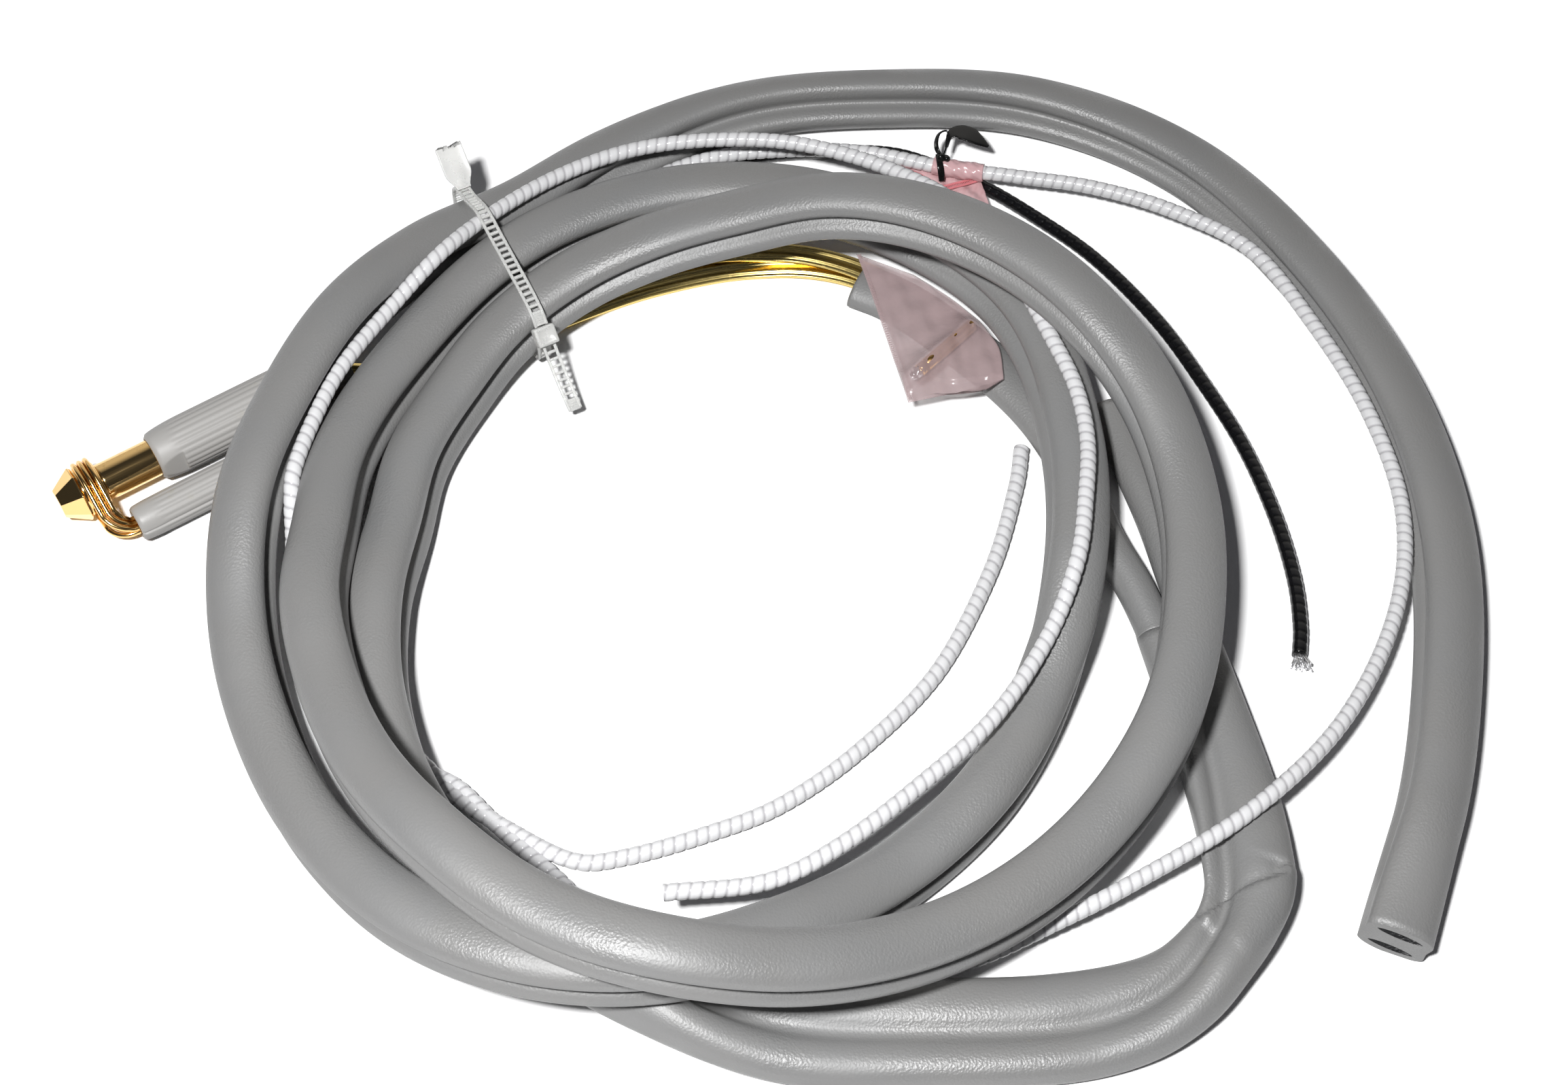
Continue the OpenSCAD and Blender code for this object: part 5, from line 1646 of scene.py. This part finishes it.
# ---------------------------------------------------------------- cable tie
@dataclass
class CableTie:
    """A ladder-strap tie: paddle, strap with windows, head block and free tail."""

    start: Tuple[float, float] = (-103.0, 124.0)
    heading: float = -63.0
    width: float = 4.8
    thick: float = 1.2
    pitch: float = 2.5
    tail_len: float = 24.0
    tail_slope: float = 42.0
    loop: Rows = (
        (65.4, 20.8), (65.2, 16), (64.8, 9), (61.5, 4.8), (50, 3.9), (36, 3.9), (31, 2.3), (27, 1),
        (6, 1), (-4, 1.2), (-7.2, 4), (-8, 12), (-7.2, 20), (-3, 25.2), (5, 27.8), (11, 30.9),
        (18, 33.6), (29, 32.6), (41, 31.6), (54, 30.6), (61.7, 28.6), (65.5, 25.2))
    tail_at: Tuple[float, float] = (70.6, 20.6)
    block: Tuple[float, float, float] = (6.6, 7.4, 5.4)
    paddle_len: float = 14.0
    paddle_width: float = 9.4
    paddle_rise: float = 150.0

    def _to_world(self, flat: np.ndarray) -> np.ndarray:
        """Distance and height in the tie's plane, put into the layout in metres."""
        turn = math.radians(self.heading)
        return MM * np.stack([
            self.start[0] + flat[:, 0] * math.cos(turn),
            self.start[1] + flat[:, 0] * math.sin(turn), flat[:, 1]], axis=1)

    def _frames(self, line: np.ndarray) -> Tuple[np.ndarray, np.ndarray]:
        """The strap's side and up vectors along a line in its plane."""
        turn = math.radians(self.heading)
        side = np.repeat([[-math.sin(turn), math.cos(turn), 0.0]], len(line), axis=0)
        return side, unit(np.cross(tangents(line), side)) * -1

    def ladder(self, name: str, flat: np.ndarray, shop: Workshop,
               solid: Tuple[float, float]) -> bpy.types.Mesh:
        """Two rails and the rungs between them.

        Args:
            name: the mesh's name.
            flat: the line in the tie's plane.
            shop: the workshop.
            solid: lengths without windows at the two ends, in millimetres.

        Returns:
            The mesh of the whole ladder.
        """
        line = even_line(self._to_world(flat), 0.8 * MM)
        side, up = self._frames(line)
        rail = self.width * 0.21
        skin = Skin()
        section = soft_box(rail / 2 * MM, self.thick / 2 * MM, 0.25 * MM)
        for sign in (-1, 1):
            off = sign * (self.width - rail) / 2 * MM
            sweep(skin, line + off * side, section, -side, up)
        run = arc_lengths(line)
        close = 0.8 * MM
        stops = list(np.arange(solid[0] * MM, run[-1] - solid[1] * MM, self.pitch * MM))
        stops = [*np.arange(close / 2, stops[0], close), *stops,
                 *np.arange(stops[-1] + close, run[-1], close)]
        rung = block_mesh("rung", (0.95, self.width - rail, self.thick * 0.8), 0.2)
        places, along, above = (read_rows(stops, run, rows) for rows in (line, tangents(line), up))
        rungs = Repeater(name + "_rungs").run(rung, places, along, above, shop.finish(TIE_NYLON))
        return joined(name, skin.mesh(name), rungs)

    def build(self, shop: Workshop) -> None:
        """Makes the tie's four pieces."""
        loop = smooth_rows(self.loop, 300)
        shop.place("tie_strap", self.ladder("tie_strap", loop, shop, (1.0, 3.0)), TIE_NYLON,
                   replaces=("cable_tie_strap",))
        slope = math.radians(self.tail_slope)
        reach = np.linspace(-3.0, self.tail_len, 30)
        sag = 0.006 * np.maximum(reach, 0) ** 2
        tail = np.stack([self.tail_at[0] + reach * math.cos(slope) + sag * 0.5,
                         self.tail_at[1] - reach * math.sin(slope) + sag], axis=1)
        shop.place("tie_tail", self.ladder("tie_tail", tail, shop, (3.0, 1.5)), TIE_NYLON,
                   replaces=("cable_tie_tail",))
        self._head(shop, slope)
        self._paddle(shop)

    def _head(self, shop: Workshop, slope: float) -> None:
        """The block that the tail runs through, with an eased end and a dark slot."""
        shape = bmesh.new()
        bmesh.ops.create_cube(shape, size=1.0)
        bmesh.ops.scale(shape, vec=[size * MM for size in self.block], verts=shape.verts)
        bmesh.ops.bevel(shape, geom=list(shape.edges), offset=0.8 * MM, segments=3,
                        affect="EDGES", profile=0.6)
        top = max(shape.faces, key=lambda face: face.calc_center_median().z)
        bmesh.ops.inset_region(shape, faces=[top], thickness=0.9 * MM, depth=0.0)
        bmesh.ops.translate(shape, vec=(0, 0, -0.7 * MM), verts=top.verts)
        mesh = sorted_mesh_of(shape, "tie_head")
        turn = math.radians(self.heading)
        axis_x = np.array([math.cos(turn) * math.cos(slope), math.sin(turn) * math.cos(slope),
                           -math.sin(slope)])
        axis_y = np.array([-math.sin(turn), math.cos(turn), 0.0])
        axis_z = np.cross(axis_x, axis_y)
        centre = self._to_world(np.array([[
            self.tail_at[0] - self.block[0] / 2 * math.cos(slope),
            self.tail_at[1] + self.block[0] / 2 * math.sin(slope)]]))[0]
        for vertex in mesh.vertices:
            x, y, z = vertex.co
            vertex.co = Vector(centre + x * axis_x + y * axis_y + z * axis_z)
        shop.place("tie_block", mesh, TIE_NYLON, replaces=("cable_tie_head",))

    def _paddle(self, shop: Workshop) -> None:
        """The wide end: it curls a little and its end is torn."""
        root = np.array([self.loop[14][0] - 4.5, self.loop[14][1] + 0.7])
        s = np.linspace(0, self.paddle_len, 29)
        lift = math.radians(self.paddle_rise)
        curl = 0.012 * s**2
        flat = root + np.stack([s * math.cos(lift) - curl * 0.4,
                                s * math.sin(lift) + curl], axis=1)
        line = self._to_world(flat)
        side, up = self._frames(line)
        width = self.width / 2 + (self.paddle_width - self.width) / 2 * ease(s / 5.6)
        rng = random.Random(5)
        across = np.linspace(-1, 1, 23)
        tear = np.array([rng.uniform(-1.6, 0.0) for _ in across])
        ridge = 0.35 * np.cos(across * math.pi * 1.5)
        top = np.empty((len(s), len(across), 3))
        for j, share in enumerate(across):
            place = np.minimum(s, s[-1] + tear[j] * ease((s - 9) / 5))
            bend = 0.5 * share**2 * ease(s / 8)
            top[:, j] = (read_rows(place, s, line) + (share * width * MM)[:, None] * side
                         + ((bend + 0.12 * ridge[j]) * MM)[:, None] * read_rows(place, s, up))
        under = top - (self.thick * 0.7 * MM) * up[:, None]
        rings = np.concatenate([top, under[:, ::-1]], axis=1)[:, ::-1]
        skin = Skin()
        skin.add_closed(rings)
        shop.place("tie_paddle", skin.mesh("tie_paddle"), TIE_NYLON, replaces=("cable_tie_paddle",))


# ---------------------------------------------------------------- parts bag
def rod_mesh(name: str, length: float, radius: float, bend: float,
             around: int = 8) -> bpy.types.Mesh:
    """A thin rod along X from the origin, bent a little to one side, in metres."""
    s = np.linspace(0, length, 9)
    line = np.stack([s, 0 * s, bend * (s / length) ** 2], axis=1) * MM
    side, up = turning_frames(line)
    skin = Skin()
    sweep(skin, line, oval(radius * MM, radius * MM, around), side, up)
    return skin.mesh(name)


@dataclass
class PartsBag:
    """A small film pouch with a crimped seam, folded over below, and its tied neck."""

    left: Rows = ((33.3, 107.2), (36.3, 96.5), (39.5, 84.0), (43.8, 66.5), (47.2, 53.0),
                  (49.6, 43.6))
    right: Rows = ((53, 98), (61, 91.5), (69, 84), (76.5, 74), (81, 66), (82, 53.5))
    low: Rows = ((49.6, 43.6), (57.4, 46.8), (63, 47), (69, 47.6), (75.5, 49), (82, 53.5))
    floor_z: float = 11.4
    pin_z: float = 17.35
    film: float = 0.14

    def _cover(self, u: np.ndarray, v: np.ndarray) -> np.ndarray:
        """The pouch's plan at shares u across and v down, in millimetres."""
        def read(rows: Rows, share: np.ndarray) -> np.ndarray:
            """Plan points at shares of an edge."""
            table = SmoothTable.spaced(rows)
            return table.at(share.ravel() * table.last).reshape(*share.shape, 2)

        high = (np.array(self.left[0]), np.array(self.right[0]))
        left, right, low = read(self.left, v), read(self.right, v), read(self.low, u)
        a, b = u[..., None], v[..., None]
        corners = ((1 - a) * (1 - b) * high[0] + a * (1 - b) * high[1]
                   + (1 - a) * b * np.array(self.left[-1]) + a * b * np.array(self.right[-1]))
        return ((1 - a) * left + a * right + (1 - b) * ((1 - a) * high[0] + a * high[1])
                + b * low - corners)

    def _lift(self, plan: np.ndarray, u: np.ndarray, v: np.ndarray) -> np.ndarray:
        """Height of the top film: over the pin, with soft puckers and a folded lower band."""
        foot, head = np.array([51.5, 52.3]), np.array([71, 72.9])
        run = head - foot
        share = np.clip(((plan - foot) @ run) / (run @ run), 0, 1)
        off = np.linalg.norm(plan - (foot + share[..., None] * run), axis=-1)
        over_pin = np.exp(-((np.maximum(off - 1.6, 0) / 3.4) ** 1.4))
        x, y = plan[..., 0], plan[..., 1]
        pucker = (0.25 * np.sin(0.52 * x + 0.31 * y) + 0.2 * np.sin(0.23 * x - 0.61 * y + 1.3)
                  + 0.12 * np.sin(1.1 * x + 0.2 * y))
        edge = np.minimum(np.minimum(u, 1 - u) * 9, np.minimum(v, 1 - v) * 14)
        held = ease(edge)
        fold = self.fold_line(x)
        band = ease((fold - y) / 0.7 + 0.5)
        rise = self.pin_z - self.floor_z - 1.4
        z = self.floor_z + 1.0 + held * (0.5 + pucker) + rise * over_pin
        return z - 0.9 * band * (1 - 0.4 * over_pin)

    @staticmethod
    def fold_line(x: np.ndarray) -> np.ndarray:
        """The y of the fold across the bottom, at each x."""
        return np.interp(x, [50, 53.5, 57.6, 66.9, 82], [48.3, 50.2, 51.6, 51.9, 54.2])

    def build(self, shop: Workshop) -> None:
        """Makes every piece of the bag."""
        self._pouch(shop)
        self._neck(shop)
        self._twist(shop)

    def _pouch(self, shop: Workshop) -> None:
        """The two films, closed round the edge, and the crimped seam."""
        across, down = 64, 84
        u, v = np.meshgrid(np.linspace(0, 1, across), np.linspace(0, 1, down))
        plan = self._cover(u, v)
        top = np.concatenate([plan, self._lift(plan, u, v)[..., None]], axis=-1) * MM
        under = top.copy()
        edge = ease(np.minimum(np.minimum(u, 1 - u) * 12, np.minimum(v, 1 - v) * 16))
        under[..., 2] = (self.floor_z + 0.85 * (1 - edge)) * MM
        under[..., 2] = np.minimum(under[..., 2], top[..., 2] - 0.1 * MM)
        skin = Skin()
        skin.add_closed(np.concatenate([top, under[:, ::-1]], axis=1))
        place = np.linspace(0.012, 0.985, 92)
        seam = SmoothTable.spaced(self.left)
        line = np.concatenate([seam.at(place * seam.last),
                               np.full((len(place), 1), self.floor_z + 1.05)], axis=1) * MM
        along = tangents(line)
        inward = -unit(np.cross(along, [0.0, 0.0, 1.0]))
        crimp = block_mesh("crimp", (1.15, 0.34, 0.36), 0.1)
        crimps = Repeater("seam_crimps", jitter=0.08, seed=11).run(
            crimp, line + inward * 0.9 * MM, inward, np.tile([0.0, 0.0, 1.0], (len(line), 1)),
            shop.finish(BAG_FILM))
        piece = joined("bag_pouch", skin.mesh("pouch"), crimps)
        shop.place("bag_pouch", piece, BAG_FILM, replaces=("bag_film",))

    def _neck(self, shop: Workshop) -> None:
        """The neck: a sleeve of film round the white cable, its flap and the zip across it."""
        upper = (smooth_rows(WHITE_ROUTE, 4000) * MM)[2200:]
        near = upper[(upper[:, 0] > 61.5 * MM) & (upper[:, 0] < 80 * MM) & (upper[:, 1] > 0.12)]
        line = even_line(near, 0.5 * MM)
        angle = circle(40)
        run = arc_lengths(line) / MM
        wrinkle = (0.16 * np.sin(3 * angle[None] + 0.9 * run[:, None])
                   + 0.1 * np.sin(7 * angle[None] - 1.7 * run[:, None]))
        loose = (2.6 + 0.62 + wrinkle) * MM
        rings = round_rings(line, loose, angle)
        inner = round_rings(line, loose - self.film * MM, angle)
        skin = Skin()
        skin.add_rings(np.concatenate([rings, inner[::-1]]), looped=True)
        rows = np.array([
            [(46.5, 153.6), (46.6, 151.8), (47, 150.2), (47.6, 149.4)],
            [(53, 154), (53, 151.3), (53.2, 148.8), (53.4, 146.8)],
            [(60.5, 153.4), (60.5, 150), (60.6, 146.5), (60.8, 143.2)],
            [(67, 151.5), (67.2, 147.5), (67.4, 143), (67.6, 139.2)],
            [(73.5, 149), (74, 145), (74.4, 140.5), (74.8, 136.2)],
            [(78.6, 146.6), (79.6, 142.6), (80.6, 138), (81.8, 133.2)]])
        sheet = smooth_rows(rows.reshape(len(rows), -1), 61).reshape(-1, 4, 2)
        plan = np.stack([smooth_rows(row, 25) for row in sheet])
        x, y = plan[..., 0], plan[..., 1]
        height = (6.3 + 0.35 * np.sin(0.9 * x + 0.7 * y) + 0.2 * np.sin(1.9 * x - 0.8 * y)
                  + 0.25 * np.sin(0.5 * y + 2))
        top = np.concatenate([plan, height[..., None]], axis=-1) * MM
        under = top - np.array([0, 0, self.film * MM])
        skin.add_closed(np.concatenate([top[:, ::-1], under], axis=1))
        shop.place("bag_neck", skin.mesh("bag_neck"), NECK_FILM)
        self._zip(shop)

    @staticmethod
    def _zip(shop: Workshop) -> None:
        """The press-zip: two rails with close ribs between them."""
        rail = ((49.5, 151.2, 6.6), (56, 148.4, 6.9), (63.5, 142.6, 7.1), (70, 143.6, 7.3),
                (76, 145.6, 7.4), (79.4, 147.2, 7.4))
        line = even_line(smooth_rows(rail, 200) * MM, 0.6 * MM)
        side, up = level_frames(line, np.zeros(len(line)))
        skin = Skin()
        for off in (-0.85, 0.85):
            sweep(skin, line + off * MM * side, soft_box(0.34 * MM, 0.3 * MM, 0.12 * MM), side, up)
        rib = block_mesh("zip_rib", (0.3, 1.5, 0.3), 0.08)
        inside = line[1:-1]
        ribs = Repeater("zip_ribs", seed=3).run(
            rib, inside, tangents(line)[1:-1], up[1:-1], shop.finish(ZIP_FILM))
        shop.place("bag_zip", joined("bag_zip", skin.mesh("zip"), ribs), ZIP_FILM,
                   replaces=("bag_zip_strip",))

    @staticmethod
    def _twist(shop: Workshop) -> None:
        """The black twist tie: stem, knot, a loop and a broad leaf with a torn end."""
        skin = Skin()

        def ribbon(rows: Rows, widths: Sequence[float], first_side: Sequence[float],
                   thick: float = 0.34) -> None:
            """One flat strip along a line, with its width at even shares of it."""
            line = smooth_rows(rows, 48) * MM
            side, up = turning_frames(line, first_side)
            last = len(rows) - 1
            wide = np.interp(np.linspace(0, last, 48), np.linspace(0, last, len(widths)), widths)
            size = np.stack([wide / 2, np.full_like(wide, thick)], axis=1) * MM
            sweep(skin, line, soft_box(1.0, 1.0, 0.5, 3), side, up, size)

        ribbon(((63.4, 152.8, 12.9), (63.5, 150.6, 13.3), (63.9, 147.6, 12.6), (64.3, 145.6, 10.4),
                (64.5, 144.6, 8.2)), (2.2, 2.1, 2.3, 2.3, 2.0), (1, 0, 0))
        ribbon(((64.2, 152.4, 13), (62.9, 154.3, 14), (62.6, 157, 15), (63.7, 160, 16),
                (66.2, 161.2, 16.3), (67.2, 159.6, 15.6), (66.6, 156.4, 14.6), (65.9, 154, 13.6),
                (65.2, 152.4, 13)), (1.6, 2.4, 2.9, 2.4, 1.4, 1.2, 1.6, 1.8, 1.4), (0.5, -0.4, 0.7))
        ribbon(((66.3, 155.5, 14), (67.4, 159, 15.4), (70, 160.8, 16), (74, 159.8, 16.2),
                (78, 157.2, 15.6), (81.3, 155, 14.6)), (1.3, 2.0, 5.2, 7.2, 7.0, 4.2, 0.8),
               (0.5, -0.8, 0))
        turn = np.linspace(0, math.pi, 12)
        ball = Axis((62.7, 151.6, 13.0), -12.0)
        for start, size in ((0.0, 1.7), (2.3, 1.35)):
            profile = [(start + size * (1 - math.cos(q)), max(size * math.sin(q), 0.02))
                       for q in turn]
            skin.add_closed(ball.turned(profile, 24, lambda s, r, a: r * (
                1 + 0.1 * np.sin(np.radians(3 * a) + 2 * s))))
        shop.place("twist_tie", skin.mesh("twist_tie"), TWIST_PLASTIC, replaces=("bag_twist_tie",))


@dataclass
class SparePin:
    """The spare pin in the pouch: a turned shank with a collar, and a crumpled tip."""

    axis: Axis = Axis((50.8, 51.6, 15.0), math.degrees(math.atan2(23.4, 22.2)))
    radius: float = 2.2
    around: int = 40

    def build(self, shop: Workshop) -> None:
        """Makes both pieces."""
        r = self.radius
        shank = [(4.0, 0.3), (4.0, r - 0.3), (4.3, r), (6.6, r), (6.8, r - 0.25), (7.3, r - 0.25),
                 (7.5, r), (12, r), (20, r), (28, r), (30.6, r), (31, r - 0.4), (31, 0.3)]
        skin = Skin()
        skin.add_closed(self.axis.turned(shank, self.around))
        shop.place("pin_shank", skin.mesh("pin_shank"), PIN_BRASS, replaces=("spare_pin_body",))
        rng = random.Random(23)
        waves = [(rng.randint(2, 7), rng.uniform(0, 6.3), rng.uniform(1.5, 5)) for _ in range(7)]

        def crumple(along: np.ndarray, size: np.ndarray, angle: np.ndarray) -> np.ndarray:
            """The radius with low lumps on it."""
            swell = sum(np.sin(n * np.radians(angle) + phase + k * along) for n, phase, k in waves)
            return np.maximum(size * (1 + 0.09 * swell), 0.05)

        tip = [(s, r * k) for s, k in (
            (-0.3, 0.1), (-0.2, 0.3), (0.1, 0.5), (0.6, 0.66), (1.1, 0.74), (1.5, 0.62),
            (1.9, 0.6), (2.3, 0.78), (2.8, 0.86), (3.4, 0.88), (3.8, 0.8), (4.0, 0.1))]
        skin = Skin()
        skin.add_closed(self.axis.turned(tip, self.around, crumple))
        shop.place("pin_tip", skin.mesh("pin_tip"), TIP_SILVER, replaces=("spare_pin_tip",))


def frayed_end(shop: Workshop) -> bpy.types.Object:
    """The bare shield wires that stand out of the black cable's cut end."""
    start = np.array(BLACK_ROUTE[0])
    out = unit(start - np.array(BLACK_ROUTE[1]))
    rng = random.Random(31)
    count = 26
    angle = np.array([k * 2.399 for k in range(count)])
    reach = np.sqrt((np.arange(count) + 0.5) / count)
    side = unit(np.cross(out, [0.0, 0.0, 1.0]))
    up = np.cross(side, out)
    off = reach[:, None] * (np.cos(angle)[:, None] * side + np.sin(angle)[:, None] * up)
    places = (start + 1.5 * off - 0.6 * out) * MM
    splay = np.array([rng.uniform(0.1, 0.55) for _ in range(count)])[:, None]
    along = unit(out + splay * off + np.array([0.14, 0.0, 0.0]))
    along[:, 2] = np.maximum(along[:, 2], -0.1)
    rod = rod_mesh("shield_wire", 5.0, 0.24, 0.9)
    wires = Repeater("frayed_wires", jitter=0.28, seed=5).run(
        rod, places, along, off + 0.01 * up, shop.finish(BARE_SHIELD))
    core = Skin()
    line = np.array([start + out * s for s in np.linspace(-0.8, 2.4, 8)]) * MM
    frame = turning_frames(line)
    sweep(core, line, oval(1.5 * MM, 1.4 * MM, 20), *frame,
          size=np.array([1, 1, 1, 1, 0.97, 0.9, 0.72, 0.4]))
    mesh = joined("frayed_end", core.mesh("core"), wires)
    return shop.place("frayed_end", mesh, BARE_SHIELD, replaces=("black_cable_braid",))


# ---------------------------------------------------------------- main
def head_plan(along: float, across: float, z: float) -> Tuple[float, float, float]:
    """A place given along and to the left of the head's axis, in the layout."""
    turn = math.radians(HEAD_ANGLE)
    return (HEAD_AT[0] + along * math.cos(turn) - across * math.sin(turn),
            HEAD_AT[1] + along * math.sin(turn) + across * math.cos(turn), z)


FRONT_STRIP_ROUTE = (
    (53, 93, 5), (44, 100, 4.9), (31, 107.5, 4.7), (15, 113, 4.2), (-2, 115, 3.2),
    (-19, 115, 1.6), (-42, 110, 0.4), (-67, 100, 0.4), (-92, 86.5, 0.4), (-109, 75.5, 0.4),
    (-121, 67.6, 0.6), (-131, 62.3, 2.2), head_plan(105.8, -1.4, 5), head_plan(100.8, -1, 5.4))
REAR_STRIP_ROUTE = (
    (53, 91.5, 2.3), (44, 98, 2.3), (31, 105, 2.2), (15, 109, 1.6), (-2, 109.5, 0.6),
    (-19, 107, 0.4), (-42, 100, 0.4), (-62, 91, 0.4), (-82, 80, 0.4), (-102, 67.5, 0.4),
    (-122, 52.5, 0.4), (-133.5, 44, 0.5), head_plan(91.2, -GRIP_SPACING, 1.7),
    head_plan(85.5, -GRIP_SPACING, 3.4))


def build_cords(shop: Workshop) -> None:
    """The sheath, its two split tubes and the two loose cables."""
    Sheath().build(shop)
    SplitTube("cut_stub", "sheath_cut_stub", STUB_ROUTE).build(shop)
    SplitTube("end_tube", "sheath_end_tube", END_TUBE_ROUTE, bore_row=END_BORE_ROW).build(shop)
    WrappedCable("white_cable_wrap", "white_cable", WHITE_ROUTE, 5.2 * MM, WHITE_WRAP).build(shop)
    end = frayed_end(shop)
    WrappedCable("black_cable_wrap", "black_cable", BLACK_ROUTE, 5 * MM, BLACK_WRAP,
                 pitch=3.4 * MM, groove=0.06).build(shop, with_pieces=[end])


def build_head(shop: Workshop) -> None:
    """The two grips, the plunger and its link, and the strips that join them to the sheath."""
    Grip("upper_grip", HEAD_AXIS, 33.8, 71, 9.2, 7.5,
         bore=((71, 7.6), (70.8, 7.5), (40, 7.5), (10, 7.5), (10, 6.8), (4, 6.8), (0.2, 6.8)),
         flat_turn=172).build(shop)
    Grip("lower_grip", LOWER_AXIS, 18.2, 67, 6.5, 5.7,
         bore=((67, 4.5), (66.8, 4.4), (40, 4.4), (20, 4.4), (0.2, 4.4), (0, 4.5)),
         seam_turn=165, flutes=20, flute_depth=0.2).build(shop)
    PlungerHead().build(shop)
    BrassStrip("front_strip", FRONT_STRIP_ROUTE).build(shop)
    BrassStrip("rear_strip", REAR_STRIP_ROUTE).build(shop)
    for node, finish in (
            ("upper_grip_plug", PLUG_PLASTIC), ("lower_grip_plug", PLUG_PLASTIC),
            ("guide_bush", BUSH_BRONZE), ("spring_seat", TURNED_STEEL),
            ("link_slider", TURNED_STEEL)):
        shop.dress(node, finish)


def main() -> None:
    """Builds every sub-assembly in order."""
    logging.basicConfig(level=logging.INFO, format="%(message)s")
    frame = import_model()
    shop = Workshop(nodes=frame["nodes"])
    Studio().build()
    build_cords(shop)
    build_head(shop)
    CableTie().build(shop)
    PartsBag().build(shop)
    SparePin().build(shop)


if __name__ == "__main__":
    main()
